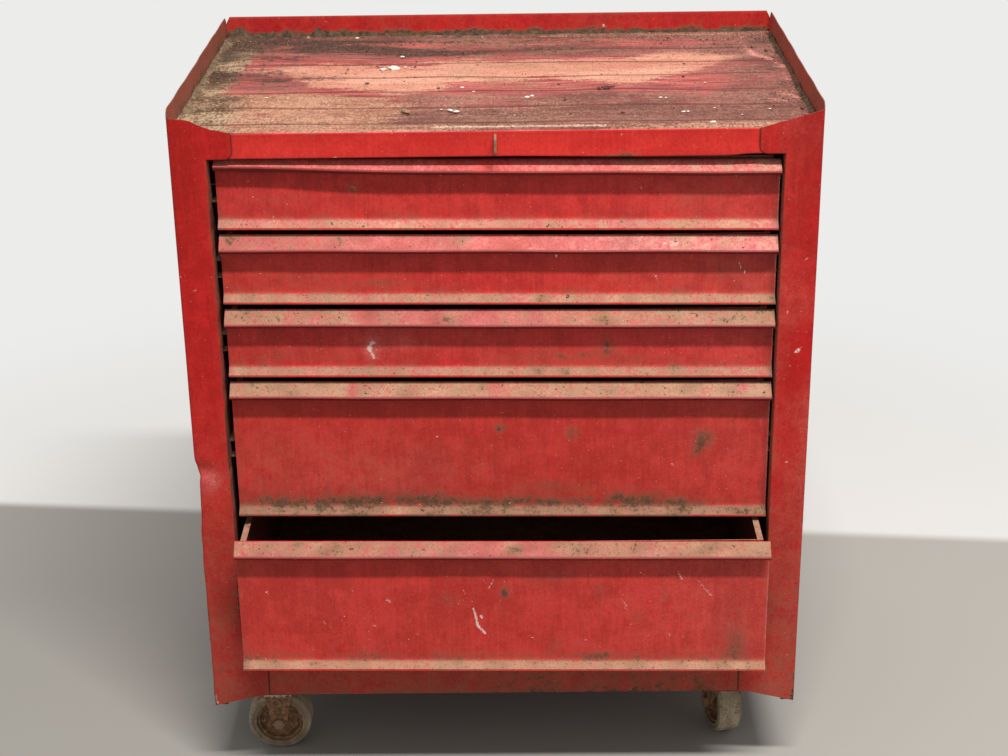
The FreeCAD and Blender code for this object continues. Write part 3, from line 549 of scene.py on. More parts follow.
def make_tray_material():
    """The tray's worn enamel. Where the sheet lies flat its masks hold soft zones: bleached to peach,
    dusty, stained black by old oil, and dulled by a brown film, with a dark line along each bead, pink
    smears and cream edges. Noise stretched along the tray tears their borders into streaks. Where the
    sheet stands upright it is plain aged enamel."""
    material, nodes = new_material("tray_enamel")
    peach_zone, dust_zone, black_zone, film_zone = held_by_mesh(nodes, "marks")
    bead, smeared, cream, _ = held_by_mesh(nodes, "finish")
    torn = nodes.spread(42.0, 10.0, 0.74, (0.35, 1.0, 1.0))
    streaks = nodes.spread(130.0, 7.0, 0.7, (0.10, 1.0, 1.0))
    lines = nodes.spread(330.0, 4.0, 0.6, (0.03, 1.0, 1.0))
    grain = nodes.spread(340.0, 6.0, 0.75, (1.0, 0.42, 1.0))
    clumps = nodes.spread(120.0, 6.0, 0.7, (1.0, 0.55, 1.0))
    cloud = nodes.spread(14.0, 5.0, 0.6, (0.4, 1.0, 1.0))
    tear = nodes.total(torn, (streaks, 0.8))
    red = nodes.blend(
        (0.28, 0.036, 0.034), (0.62, 0.150, 0.125), -0.16, 0.14, (streaks, 0.8), (lines, 0.5), (cloud, 0.5),
    )
    peach = nodes.blend(
        (0.60, 0.225, 0.145), (0.82, 0.41, 0.28), -0.12, 0.12, (cloud, 0.6), (streaks, 0.5), (torn, 0.4),
    )
    bleached = nodes.rise(0.44, 0.58, peach_zone, (tear, 1.3), (grain, 0.5))
    thin = nodes.rise(0.04, 0.16, lines, (streaks, 0.6), into=(1.0, 0.62))
    bleached = nodes.maths("MULTIPLY", bleached, thin)
    colour = nodes.mix(bleached, red, peach)
    mottled = (clumps, 0.7), (cloud, 0.7), (grain, 0.5), (streaks, 0.4)
    brown = nodes.blend((0.17, 0.070, 0.055), (0.34, 0.165, 0.125), -0.14, 0.14, *mottled)
    film = nodes.rise(0.26, 0.80, film_zone, (tear, 1.5), grain, (clumps, 0.6))
    colour = nodes.coat(colour, film, 0.88, brown)
    mottled = (cloud, 0.8), (streaks, 0.4), (clumps, 0.9), (grain, 0.7)
    khaki = nodes.blend((0.11, 0.068, 0.038), (0.52, 0.385, 0.235), -0.15, 0.15, *mottled)
    tan = nodes.blend((0.40, 0.185, 0.115), (0.57, 0.32, 0.205), -0.15, 0.15, *mottled)
    powder = nodes.blend(khaki, tan, -0.295, -0.255, nodes.position()["X"])
    dusty = nodes.rise(0.36, 0.72, dust_zone, (tear, 1.2), (grain, 0.6))
    colour = nodes.coat(colour, dusty, 0.9, powder)
    oily = nodes.rise(0.36, 0.86, black_zone, (tear, 2.3), (grain, 2.2), (clumps, 2.0))
    pitch = nodes.blend((0.022, 0.014, 0.013), (0.14, 0.078, 0.058), -0.08, 0.12, grain)
    colour = nodes.coat(colour, oily, 0.9, pitch)
    pink = nodes.rise(0.34, 0.70, smeared, (tear, 0.8), (grain, 0.6))
    colour = nodes.coat(colour, pink, 0.85, (0.74, 0.31, 0.26))
    bare = nodes.rise(0.42, 0.7, cream, (tear, 0.8), (grain, 0.8))
    colour = nodes.coat(colour, bare, 0.85, (0.74, 0.50, 0.37))
    colour = nodes.scaled(colour, (grain, 1.5), (lines, 0.6), 0.80)
    dark_bead_line = nodes.rise(0.2, 0.9, bead, (streaks, 1.2), (grain, 0.6))
    colour = nodes.coat(colour, dark_bead_line, 0.66, (0.11, 0.035, 0.027))
    dirtier = nodes.total((film, 0.04), (oily, 0.05))
    small = nodes.rise(0.618, 0.68, nodes.noise(520.0, 2.0, 0.5, (1.0, 0.5, 1.0)), dirtier)
    large = nodes.rise(0.640, 0.69, nodes.noise(210.0, 4.0, 0.6, (1.0, 0.6, 1.0), (0.2, 0.5, 0.1)), dirtier)
    colour = nodes.coat(colour, nodes.maths("MAXIMUM", small, large), 0.65, (0.07, 0.032, 0.022))
    white = nodes.rise(0.735, 0.755, nodes.noise(420.0, 2.0, 0.5, shift=(0.7, 0.2, 0.1)))
    colour = nodes.coat(colour, white, 0.7, (0.66, 0.52, 0.44))
    front = nodes.group(AGED, **finish_masks(nodes), gloss=0.40, specks=0.6, **RAIL_RED, **SOIL_AND_SHEEN)
    on_top = nodes.rise(0.25, 0.7, up_facing(nodes))
    rough = nodes.total(0.55, (film, 0.2), (dusty, 0.3), (oily, 0.1), (grain, 0.3))
    rough = nodes.maths("MINIMUM", rough, 0.95)
    relief = nodes.total((grain, 1.2), (clumps, 0.8), (dusty, 0.6), (oily, 0.5), (bleached, -0.3))
    finish_material(
        nodes, nodes.mix(on_top, front["Color"], colour), nodes.mix_value(on_top, front["Roughness"], rough),
        nodes.mix_value(on_top, front["Height"], relief), 0.4, 0.0009, specular=0.15,
    )
    return material


tray_enamel = make_tray_material()


def make_soil_material(name, dark, light, bump):
    """Loose dirt: two colours mixed by coarse and fine noise, with a rough surface."""
    material, nodes = new_material(name)
    coarse, fine = nodes.noise(120.0, 6.0, 0.7), nodes.noise(900.0, 4.0, 0.7)
    relief = nodes.total((coarse, 0.6), (fine, 0.4))
    rough = nodes.rise(0.2, 0.8, fine, into=(0.75, 0.95))
    finish_material(nodes, nodes.blend(dark, light, 0.36, 0.64, relief), rough, relief, bump, 0.002)
    return material


soil_dark = make_soil_material("soil_dark", (0.016, 0.010, 0.006), (0.125, 0.076, 0.044), 0.9)
soil_khaki = make_soil_material("soil_khaki", (0.05, 0.032, 0.018), (0.27, 0.185, 0.11), 0.9)
soil_brown = make_soil_material("soil_brown", (0.040, 0.020, 0.012), (0.16, 0.085, 0.055), 0.7)
soil_pale = make_soil_material("soil_pale", (0.16, 0.10, 0.06), (0.40, 0.28, 0.18), 0.7)
chip_white = make_soil_material("chip_white", (0.56, 0.46, 0.38), (0.80, 0.75, 0.67), 0.3)


# The pieces

def blots(x, z, places):
    """Stains on a face: the sum of soft ellipses, each given as x, z, half width, half height and
    strength."""
    total = 0.0
    for px, pz, rx, rz, strength in places:
        total = total + strength * np.exp(-(((x - px) / rx) ** 2 + ((z - pz) / rz) ** 2))
    return total


def strokes(x, z, marks):
    """Scratches, drips and smears: soft lines, each given as its two ends, its half width and its
    strength."""
    total = 0.0
    for x0, z0, x1, z1, width, strength in marks:
        along, up = x1 - x0, z1 - z0
        share = np.clip(((x - x0) * along + (z - z0) * up) / (along**2 + up**2), 0, 1)
        total = total + strength * bell(np.hypot(x - x0 - share * along, z - z0 - share * up), width)
    return total


# Of each drawer: its base, how high its front is above that, and how steep its pull is in degrees
DRAWERS = {
    1: (671.4, 76.8, 38.0),
    2: (588.1, 77.8, 46.5),
    3: (503.8, 77.8, 46.5),
    4: (335.2, 162.1, 45.5),
    5: (166.6, 162.1, 45.0),
}

# Each mark on a drawer is measured from the middle of the cabinet and from the drawer's base
FACE_STAINS = {
    1: [(-150, 42, 7, 6, 0.4), (-230, 30, 60, 10, 0.15), (215, 30, 30, 14, 0.2)],
    2: [(-215, 24, 60, 12, 0.3), (-120, 20, 40, 7, 0.28), (250, 30, 40, 14, 0.25), (150, 26, 50, 10, 0.15)],
    3: [
        (-215, 22, 60, 9, 0.3), (117, 34, 10, 8, 0.55), (60, 22, 70, 8, 0.3), (125, 20, 40, 7, 0.3),
        (-60, 40, 90, 20, 0.1),
    ],
    4: [
        (-185, 13, 90, 8, 0.35), (-95, 16, 45, 9, 0.4), (20, 13, 60, 8, 0.3), (115, 13, 70, 7, 0.28),
        (210, 12, 60, 6, 0.2), (58, 32, 42, 7, 0.28), (0, 104, 6, 6, 0.6), (80, 98, 8, 7, 0.62),
        (224, 90, 11, 11, 0.78), (218, 76, 6, 8, 0.5), (165, 18, 16, 7, 0.35), (-130, 60, 150, 40, 0.1),
        (130, 22, 9, 6, 0.5), (-250, 70, 30, 40, 0.12),
    ],
    5: [
        (3, 96, 5, 8, 0.55), (55, 112, 22, 9, 0.28), (260, 60, 20, 50, 0.2), (-150, 13, 130, 5, 0.2),
        (100, 13, 90, 5, 0.25), (110, 96, 9, 7, 0.4), (180, 92, 4, 8, 0.35), (60, 30, 10, 8, 0.25),
        (150, 64, 6, 6, 0.3), (-60, 88, 10, 6, 0.3), (262, 30, 12, 16, 0.45),
    ],
}
FACE_STREAKS = {
    4: [(222, 84, 220, 66, 2.5, 0.3)],
    5: [(3, 96, -1, 24, 3.0, 0.5), (186, 88, 183, 60, 1.8, 0.4)],
}
FACE_SCRATCHES = {
    1: [(-151, 44, -146, 40, 1.5, 0.35), (150, 44, 152, 41, 1.2, 0.7)],
    2: [
        (62, 52, 63, 50, 1.4, 0.8), (256, 44, 259, 36, 1.2, 0.7), (262, 34, 263, 31, 1.3, 0.8),
        (166, 30, 170, 26, 1.2, 0.6), (250, 24, 252, 22, 1.2, 0.6),
    ],
    3: [(-136, 37, -140, 29, 2.6, 0.62), (-140, 29, -135, 19, 2.2, 0.62), (-134, 35, -132, 28, 1.6, 0.4)],
    4: [(-70, 96, -69, 93, 1.2, 0.5), (190, 60, 192, 57, 1.2, 0.5)],
    5: [
        (-32, 76, -27, 52, 1.3, 0.85), (-27, 52, -19, 43, 1.6, 0.9), (-24, 66, -22, 62, 1.4, 0.8),
        (-42, 98, -40, 94, 1.5, 0.6), (-128, 86, -124, 83, 1.6, 0.6), (-144, 54, -141, 51, 1.6, 0.6),
        (124, 108, 140, 74, 1.5, 0.34), (216, 112, 240, 82, 1.5, 0.38), (186, 44, 188, 40, 1.2, 0.7),
        (30, 40, 36, 36, 1.6, 0.6), (-15, 100, -8, 112, 1.2, 0.5), (195, 120, 200, 112, 1.2, 0.6),
        (-262, 96, -260, 93, 1.2, 0.6), (-200, 58, -198, 55, 1.2, 0.6), (150, 122, 158, 118, 1.2, 0.6),
        (92, 36, 96, 34, 1.4, 0.5),
    ],
}
# On the pulls: how thickly dust lies, how tan it is and how grimy, each at the left end, the middle and
# the right end. The pale pink dust also stands in for the sheen of light on the up-facing pulls: partly
# dust, partly a painted sheen.
PULLS = {
    1: [(0.50, 0.50, 0.85), (0.30, 0.10, 0.50), (0.30, -0.10, 0.16)],
    2: [(0.62, 0.66, 0.98), (0.42, 0.15, 0.46), (0.52, 0.12, 0.10)],
    3: [(0.80, 0.64, 0.98), (0.70, 0.38, 0.85), (0.42, 0.28, 0.44)],
    4: [(0.88, 0.86, 1.00), (0.85, 0.75, 0.70), (0.40, 0.30, 0.32)],
    5: [(0.78, 0.74, 0.92), (0.65, 0.55, 0.85), (0.42, 0.40, 0.48)],
}
PULL_STAINS = {
    1: [(215, 6, 10, 6, 0.4), (-40, 6, 6, 5, 0.3)],
    2: [(-170, 6, 12, 8, 0.5), (-280, 8, 12, 8, 0.3), (70, 8, 5, 5, 0.35)],
    3: [(-255, 6, 22, 9, 0.3), (-60, 8, 26, 5, 0.3), (150, 9, 20, 7, 0.3), (260, 7, 26, 9, 0.35)],
    4: [(-250, 8, 30, 8, 0.25), (-120, 6, 30, 6, 0.3), (-20, 8, 30, 6, 0.25), (120, 7, 30, 6, 0.2)],
    5: [
        (100, 8, 14, 8, 0.5), (146, 11, 9, 5, 0.6), (-200, 6, 40, 7, 0.2), (-100, 8, 24, 5, 0.2),
        (250, 5, 20, 5, 0.2),
    ],
}
# Where the red still shows through the dust of a pull: middle and half width
PULL_RED = {
    1: [(-20, 60)],
    2: [(-120, 40), (20, 60)],
    3: [(-140, 18), (-70, 22), (-20, 24)],
    4: [(-160, 10), (0, 20)],
    5: [(-12, 34), (40, 22)],
}
# On the flares: how thickly dust lies, how tan it is and how grimy; the pale dust also stands in for
# the sheen of light on the up-facing flare, so it is partly a painted sheen. Then how much darker than
# the rest the pull and the flare are.
FLARES = {
    1: (0.85, 0.50, 0.26, 0, 0),
    2: (0.88, 0.66, 0.34, 0, 0.12),
    3: (0.86, 0.66, 0.40, 0.08, 0.12),
    4: (0.86, 1.00, 0.56, 0.03, 0.22),
    5: (0.90, 0.95, 0.36, 0.12, 0),
}


def drawer_finish(number, x, q, z, runs, top):
    """The finish of a drawer's front: dusty on the pull and the flare, grimy above the flare and towards
    the sides, stained and scratched, with painted shade on the hem under the pull and on the face just
    below the pull. The number of its run tells a point of the pull, between 2.7 and 3.3, from one of its
    hem, up to 4.8, and one of the face."""
    pull = (runs > 2.7) * (runs < 3.3)
    lip = (runs > 3.3) * (runs < 4.8)
    face = 1 - (runs > 2.7) * (runs < 4.8)
    flare = smooth(RECESS - q, 0.25, 1.9) * (z < 16) * (runs > 0.6)
    flare_dust, flare_tan, flare_grime, dull_pull, dull_flare = FLARES[number]
    rough = waves(x, 3 * q, 60, 30 + number)
    ragged = 0.6 + 0.5 * waves(x, 0, 90, 40 + number) + 0.3 * waves(x, 0, 30, 45 + number)
    stops = [FRONT_LEFT + 15, FRONT_LEFT + 130, 60, 170, FRONT_RIGHT - 15]
    levels = [np.interp(x, stops, [a, (a + b) / 2, b, (b + c) / 2, c]) for a, b, c in PULLS[number]]
    bare = sum(bump(x, middle, width) for middle, width in PULL_RED[number])
    stains = face * blots(x, z, FACE_STAINS[number])
    low = np.exp(-np.clip(z - 10.5, 0, None) / (5 if top < 100 else 8)) * face * (1 - flare)
    dust = pull * (levels[0] - 0.32 * bare * (0.7 + 0.6 * rough)) + flare * flare_dust
    dust += (0.04 + 0.05 * smooth(x, 60, 280)) * face * (1 - flare)
    # A pale line along the right edge of each face: worn paint, and a painted highlight of the fold at that
    # edge.
    dust += 0.6 * smooth(x, FRONT_RIGHT - 1.8, FRONT_RIGHT - 0.4) * face
    tan = pull * (levels[1] - 0.3 * bare) + face * (0.25 + (flare_tan - 0.25) * flare)
    grime = pull * (levels[2] + 0.16 * rough) + flare * (flare_grime + 0.16 * waves(x, 0, 46, 50 + number))
    grime += 0.45 * low * ragged + stains + (0.10 if number > 3 else 0.0) * face
    grime += 0.12 * (1 - smooth(-np.abs(x - 1.5), -292, -284)) * face
    spots = 0.8 * pull * blots(x, q, PULL_STAINS[number]) + 0.5 * stains
    spots += (0.12 if number == 4 else 0.15) * low * ragged * (1 - smooth(x, 150, 260))
    spots += face * strokes(x, z, FACE_STREAKS.get(number, []))
    pale = face * strokes(x, z, FACE_SCRATCHES[number])
    # Painted shade: the hem under the pull and a band of the face just below the pull are darkened, and the
    # pull and the flare are made duller by their share.
    sheltered = 0.95 * lip + 0.5 * face * bump(z, top - 16, 4) * (z > top - 20)
    sheltered += dull_pull * pull * (1 - 0.5 * smooth(x, 60, 280)) + dull_flare * flare
    if number == 1:
        # A dark line on the pull below the padlock eye, and painted shade on the top of the pull in the gap
        # under the rail.
        sheltered += pull * strokes(x, q, [(-4, 2, -4, 9, 1.1, 0.45)])
        sheltered += 0.95 * (runs > 2.2) * smooth(q, 12.4, 14.0)
    elif number == 2:
        pale += pull * blots(x, q, [(150, 9, 30, 5, 0.3), (186, 8, 14, 4, 0.3), (-62, 7, 8, 3, 0.3)])
    elif number == 3:
        dust += face * blots(x, z, [(-136, 29, 8, 12, 0.42), (-122, 40, 30, 20, 0.12)])
    elif number == 4:
        clear = 0.35 * bump(x, -225, 30) + 0.5 * bump(x, -50, 18) + 0.6 * smooth(x, 180, 270)
        grime += low * (0.32 + 0.42 * ragged - clear) * smooth(x, -310, -270)
        grime -= flare * blots(x, z, [(-113, 5, 18, 8, 0.5)])
        dust += face * (1 - flare) * (blots(x, z, [(-160, 45, 150, 40, 0.08)]) - 0.03) + 0.15 * flare
        tan += flare * blots(x, z, [(-113, 5, 18, 8, 0.6)]) + 0.3 * flare
    return dust, grime, 0.10 + 0.30 * bump(runs, 0.0, 0.4), tan, pale, spots, sheltered


def make_drawer_front(number):
    """A drawer's front, folded from one sheet: a curl and a flare at the bottom, the face, and the pull,
    which comes down forward from the top edge and ends in an open hem. The path lies on the face's outer
    side, which becomes the underside of the pull, so the pull's upper side is the sheet's inner surface.
    The drawer hangs a little low at the right."""
    base, top, slope = DRAWERS[number]
    angle = math.radians(slope)
    sloping, across = math.tan(angle), WALL / math.cos(angle)
    forward = np.array([-math.cos(angle), -math.sin(angle)])
    under = np.array([math.sin(angle), -math.cos(angle)])
    fold = np.array([1.7, top - (RECESS + WALL - 1.7) * sloping - across])
    corners = [
        (8.0, -1.0), (8.1, 0.8), (RECESS, 8.4), (RECESS, top - sloping - across), fold, fold + LIP * under,
        fold + LIP * under - 6.5 * forward,
    ]
    path, runs = rounded_path(corners, [1.2, 9.5, 0.7, 0.12, 0.12], 2.5, 6)
    points = carried_along_x(path, np.linspace(FRONT_LEFT, FRONT_RIGHT, 393))
    x, q, z = (points[..., k].copy() for k in range(3))
    runs = runs[:, None] + 0 * x
    points[..., 1] += 0.5 * waves(x, z, 190, 10 + number) * bump(z, (top - 8) / 2, top / 2)
    reach = np.clip((RECESS + WALL - q) / RECESS, 0, 1) * (runs > 2.6)
    sag = 0.4 * waves(x, 0, 260, 20 + number)
    if number == 1:
        sag += 4.2 * smooth(-x, 60, 290) - 0.6 * bump(x, -20, 150) - 0.9 * smooth(x, 100, 290)
        points[..., 1] += 1.8 * smooth(-x, 120, 290) * reach
    points[..., 2] += sag * reach - DRAWER_TILT * x / FRONT_RIGHT + base
    points[..., 1] -= BOTTOM_DRAWER_OPEN if number == 5 else 0
    grid = patch(points, drawer_finish(number, x, q, z, runs, top))
    name = f"drawer_{number}"
    folded_sheet(f"{name}_skin", [grid], f"{name}_front", [drawer_enamel, drawer_edge], name)


# Marks on the posts: (distance in from the side, z)
SIDE_SPOTS = {
    "left": [(9, 135, 4, 26, 0.32), (14, 168, 4, 10, 0.3), (12, 106, 12, 5, 0.2), (30, 260, 6, 20, 0.15)],
    "right": [(14, 330, 4, 6, 0.3), (10, 140, 12, 14, 0.2), (22, 250, 8, 40, 0.12), (4, 200, 3, 60, 0.25)],
}
SIDE_SCRATCHES = {
    "left": [
        (14, 610, 22, 606, 1.2, 0.45), (20, 556, 26, 554, 1.2, 0.45), (8, 640, 10, 638, 1.1, 0.4),
        (20, 660, 22, 656, 1.0, 0.4),
    ],
    "right": [
        (26, 580, 30, 576, 1.0, 0.5), (12, 545, 18, 522, 1.2, 0.38), (10, 538, 22, 530, 1.2, 0.34),
        (22, 520, 26, 512, 1.1, 0.4), (16, 470, 18, 468, 1.1, 0.5), (28, 430, 30, 428, 1.1, 0.5),
        (14, 402, 24, 401, 1.2, 0.4), (10, 640, 12, 636, 1.0, 0.5), (20, 210, 22, 206, 1.1, 0.5),
        (8, 160, 12, 156, 1.2, 0.5),
    ],
}


def side_dents(side, d, q, z):
    """How far each point of a side is knocked inward and back: the left post was hit low down near its
    corner, and its inner edge is wavy."""
    inward = 0.5 * waves(q, z, 240, 61) * smooth(q, 20, 90)
    fade = 1 - smooth(q, 0, 34)
    back = 0.35 * (1 + waves(d, z, 120, 62)) * fade
    edge = smooth(d, POST_WIDTH - 8, POST_WIDTH - 1)
    edge = edge * plateau(z, OPENING_BOTTOM, OPENING_BOTTOM + 30, OPENING_TOP - 30, OPENING_TOP - 5)
    if side == "left":
        hit = bump(z, 397, 16)
        below = smooth(-z, -398, -388) * smooth(z, 300, 385)
        knock = 3.2 * below + 1.8 * hit + 0.5 * (1 + waves(q, z, 60, 63)) * smooth(-z, -430, -380)
        inward += (1 - smooth(q, 10, 90)) * (1 - smooth(d, 10, 34)) * knock
        inward += edge * np.minimum(0.9 * waves(0, z, 120, 64) + 0.5 * waves(0, z, 38, 66) - 0.35, 0.15)
        back += fade * (3.0 * hit * (1 - smooth(d, 4, 30)) + 0.8 * bump(z, 380, 30) * bump(d, 20, 20))
    else:
        inward += edge * np.minimum(0.3 * waves(0, z, 120, 67), 0.1)
    return inward, back


def make_bent_upright():
    """The front left upright, a channel that stands against the side. It was bent by the knock that
    dented the post, so it is shifted by the same amounts."""
    low, high = (np.array(corner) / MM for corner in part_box("upright_front_left"))
    near, far = low[1] - FRONT_PLANE, high[1] - FRONT_PLANE
    outer, web = HALF_WIDTH + low[0], HALF_WIDTH + high[0]
    section, _ = rounded_path([(outer, near), (web, near), (web, far), (outer, far)], [1.6, 1.6], 4)
    points = post_rows(section, low[2], 150, high[2])
    d, q, z = points[..., 0], points[..., 1], points[..., 2]
    inward, back = side_dents("left", d, q, z)
    inward = np.where(d < 30, np.clip(inward, 0, None), 0)
    placed = np.stack([d + inward - HALF_WIDTH, q + back, z], -1)
    folded_sheet("bent_upright", [patch(placed)], "upright_front_left", [shaded_inner_enamel] * 2, wall=1.2)


def tab_edge(d):
    """The height of a tab's lower edge: level, and rounded up at the tab's end."""
    beyond = np.clip(d - (TAB - TAB_ROUND), 0, TAB_ROUND)
    return OPENING_TOP + TAB_ROUND - np.sqrt(TAB_ROUND**2 - beyond**2)


def side_finish(side, d, q, z):
    """The finish of a side: rusty and muddy low down, worn along its edges, and grimy behind the
    opening's edge. A painted shadow lies along each tab's lower edge, and the post is darker towards the
    top."""
    face = q < 2.6
    in_opening = (z > OPENING_BOTTOM) * (z < OPENING_TOP)
    inner_wall = (d > POST_WIDTH - 0.7) * (q > 1.0) * in_opening
    cloud = waves(q + d, z, 110, 65)
    foot = np.exp(-(z - POST_BOTTOM) / 24)
    edge = np.exp(-np.abs(d - POST_WIDTH) / 1.6) * face * in_opening
    lower = smooth(-z, -420, -150)
    right, left = side == "right", side == "left"
    dust = 0.01 + 0.04 * smooth(-z, -560, -300) + 0.3 * inner_wall + 0.05 * foot
    dust += (0.03 + 0.04 * bump(z, 460, 200)) * (cloud + 1) * right
    grime = 0.04 + 0.08 * (1 + cloud) * lower + 0.24 * foot + 0.75 * inner_wall + 0.25 * edge
    grime += 0.35 * smooth(d, TAB - 2.6, TAB - 0.6) * face + 0.10 * right * lower
    grime += (0.14 + 0.06 * left) * smooth(-z, -520, -230) * face
    wear = 0.14 + 0.26 * bell(np.hypot(d, q), 4) + 0.22 * edge + 0.22 * foot * face
    wear += 0.3 * face * bump(d, TAB - 0.4, 1.2)
    tan = 0.5 + 0 * z
    end = bell(TAB - d, 0.7)
    under_tab = bell(z - tab_edge(d), 0.9) * (z > OPENING_TOP - 0.5) * (d > POST_WIDTH)
    # Painted shadow along each tab's lower edge, and a dark line along the tab's end.
    sheltered = 0.8 * face * (np.clip(under_tab + end * (z > 700), 0, 1) + end * (z < OPENING_BOTTOM))
    # Darker towards the top, less so near the opening.
    sheltered += 0.22 * face * smooth(z, 560, 760) * (1 - 0.8 * smooth(d, 18, 40))
    spots = face * blots(d, z, SIDE_SPOTS[side])
    pale = face * strokes(d, z, SIDE_SCRATCHES[side])
    if left:
        pale += face * blots(d, z, [(1.5, 104, 2.5, 12, 0.5), (10, 98, 14, 2, 0.4)])
        # A pale pink patch on the dent: dust, and a painted highlight of the dent.
        tan -= face * blots(d, z, [(12, 390, 20, 24, 0.6)])
        dust += face * blots(d, z, [(14, 386, 13, 13, 0.40)])
    return dust, grime, wear, tan, pale, spots, sheltered


def rim_inside(points, finish):
    """The inner side of a tray rim is dirtier than the outer side: dust and a brown film, and wear at
    the top."""
    x, q, z = points.T
    above = smooth(z, TRAY - 4, TRAY + 2)
    low = np.exp(-np.clip(z - TRAY, 0, None) / 9)
    share = np.where(x > 0, 0.55, 1.0)
    result = finish.copy()
    result[:, 0] += above * share * (0.26 + 0.4 * low)
    result[:, 1] += above * share * (0.46 + 0.4 * low + 0.16 * waves(q, z * 3, 70, 68))
    result[:, 3] += above * 0.5
    return np.clip(result, 0, 1)


def post_rows(path, *heights):
    """Rows of points over a path. Each height is a number or one for each point of the path, and between
    two of them stands how many even steps lie there."""
    levels = [np.broadcast_to(h, len(path)) for h in heights[::2]]
    grid = []
    for low, high, count in zip(levels, levels[1:], heights[1::2]):
        grid.append(low + (high - low) * np.linspace(0, 1, count + 1)[:-1, None])
    z = np.concatenate(grid + [levels[-1][None]])
    return np.stack([np.broadcast_to(path[:, 0], z.shape), np.broadcast_to(path[:, 1], z.shape), z], -1)


def make_side(side):
    """A side with its post. One sheet runs round from the back flange along the side, round the corner,
    across the post and back into the opening. Above and below the drawers it carries on over the rails
    as a tab, and its foot turns in. The points are (distance in from the side, q, z)."""
    bend = 2.5
    wide = POST_WIDTH - 1.6
    behind = DEPTH - 2
    flange, _ = rounded_path([(16, DEPTH), (0, DEPTH), (0, behind - 1e-6)], [1.999], 4)
    flange = flange[flange[:, 1] >= behind - 1e-5]
    body, _ = rounded_path([(0, behind), (0, 0), (wide, 0)], [bend], 4.5)
    inner, _ = rounded_path([(wide, 0), (POST_WIDTH, 0), (POST_WIDTH, 18)], [1.4], 2)
    tab = np.stack([np.append(np.linspace(wide, TAB - 2, 14), [TAB - 1, TAB]), np.zeros(16)], 1)
    whole = np.concatenate([flange[:-1], body[:-1]])
    shaft = post_rows(np.concatenate([whole, inner]), OPENING_BOTTOM, 190, OPENING_TOP)
    upper_path = np.concatenate([body[:-1], tab])
    d, q = upper_path.T
    if side == "left":
        slope = np.interp(d, [0, 6, 22, 36, 50, 63], [16.5, 15.5, 14, 7, 3, 0]) + 0.5 * waves(d, 0, 14, 69)
    else:
        slope = np.interp(d, [0, 63], [18, 0]) + 0.4 * waves(d, 0, 16, 70)
    crest = RIM_TOP - 0.03
    rim = np.interp(q, [1, 8, behind - 6, behind], [800, crest, crest, RIM_TOP - 8])
    wavy = np.minimum(rim - 0.4 + 0.4 * waves(q, 0, 90, 71), crest)
    rim = np.where((q > 10) & (q < 432), wavy, rim)
    top = np.where(d < bend, 796.5 + 3.5 * (1 - d / bend), TRAY + slope)
    top = np.where(d > 0.01, top, rim)
    low = tab_edge(d)
    upper = post_rows(upper_path, low, 2, low + 1.6, 5, 768.0, 10, top)
    rear = post_rows(flange, OPENING_TOP, 6, 768.0)
    lower_path = np.concatenate([whole, tab])
    slope = np.interp(lower_path[:, 0], [0, 55, TAB], [POST_BOTTOM, RAIL_BOTTOM, RAIL_BOTTOM])
    lower = post_rows(lower_path, np.where(lower_path[:, 1] < 0.01, slope, POST_BOTTOM), 22, OPENING_BOTTOM)
    straight = body[body[:, 0] < 1e-6]
    inward = np.linspace(0, 15, 5)[:, None] + 0 * straight[:, 0]
    sole = np.stack([inward, straight[:, 1] + 0 * inward, POST_BOTTOM + 0 * inward], -1)
    patches = []
    for points in (shaft, upper, rear, lower, sole):
        d, q, z = points[..., 0], points[..., 1], points[..., 2]
        inward, back = side_dents(side, d, q, z)
        least = np.where(d < 30, 0.0 if side == "left" else -0.5, -np.inf)
        x = np.clip(SIDES[side] * (HALF_WIDTH - d - np.maximum(inward, least)), -HALF_WIDTH, HALF_WIDTH)
        turned_over = (side == "right") != (points is sole)
        patches.append(patch(np.stack([x, q + back, z], -1), side_finish(side, d, q, z), flip=turned_over))
    folded_sheet(f"{side}_side", patches, f"side_panel_{side}", [case_enamel, case_edge], behind=rim_inside)


# Marks on the tray: (x, q)
TRAY_SMUTS = [(-215, 398, 110, 42, 1.0), (-70, 350, 120, 28, 0.9), (-262, 215, 40, 40, 0.6)]
TRAY_STAINS = [
    (-262, 412, 62, 14, 0.44), (-180, 408, 70, 10, 0.46), (-235, 368, 66, 22, 0.56),
    (-180, 384, 50, 12, 0.46), (-140, 372, 50, 16, 0.50), (-96, 352, 60, 15, 0.52),
    (-30, 350, 80, 14, 0.46), (70, 368, 60, 12, 0.34), (-240, 332, 40, 12, 0.34), (-120, 408, 70, 12, 0.34),
    (10, 400, 60, 14, 0.26), (-60, 425, 80, 9, 0.3), (-262, 262, 40, 18, 0.34), (-225, 236, 46, 14, 0.34),
    (-262, 214, 34, 14, 0.38), (-200, 222, 34, 9, 0.3), (-262, 320, 30, 16, 0.28), (150, 398, 90, 8, 0.22),
    (312, 300, 14, 60, 0.30), (318, 200, 12, 60, 0.34), (312, 400, 20, 30, 0.34), (-312, 390, 40, 34, 0.38),
    (-318, 200, 14, 80, 0.30), (-322, 330, 14, 90, 0.34), (-292, 254, 40, 12, 0.36),
    (-306, 330, 30, 14, 0.22), (-40, 52, 60, 12, 0.20), (250, 60, 70, 20, 0.22), (0, 436, 330, 6, 0.34),
    (-250, 436, 90, 10, 0.2),
]
TRAY_FILM = [
    (-200, 290, 60, 14, 0.25), (-240, 200, 60, 26, 0.3), (250, 250, 60, 30, 0.2), (70, 330, 110, 12, 0.2),
    (200, 388, 90, 24, -0.26), (30, 392, 80, 16, -0.1),
]
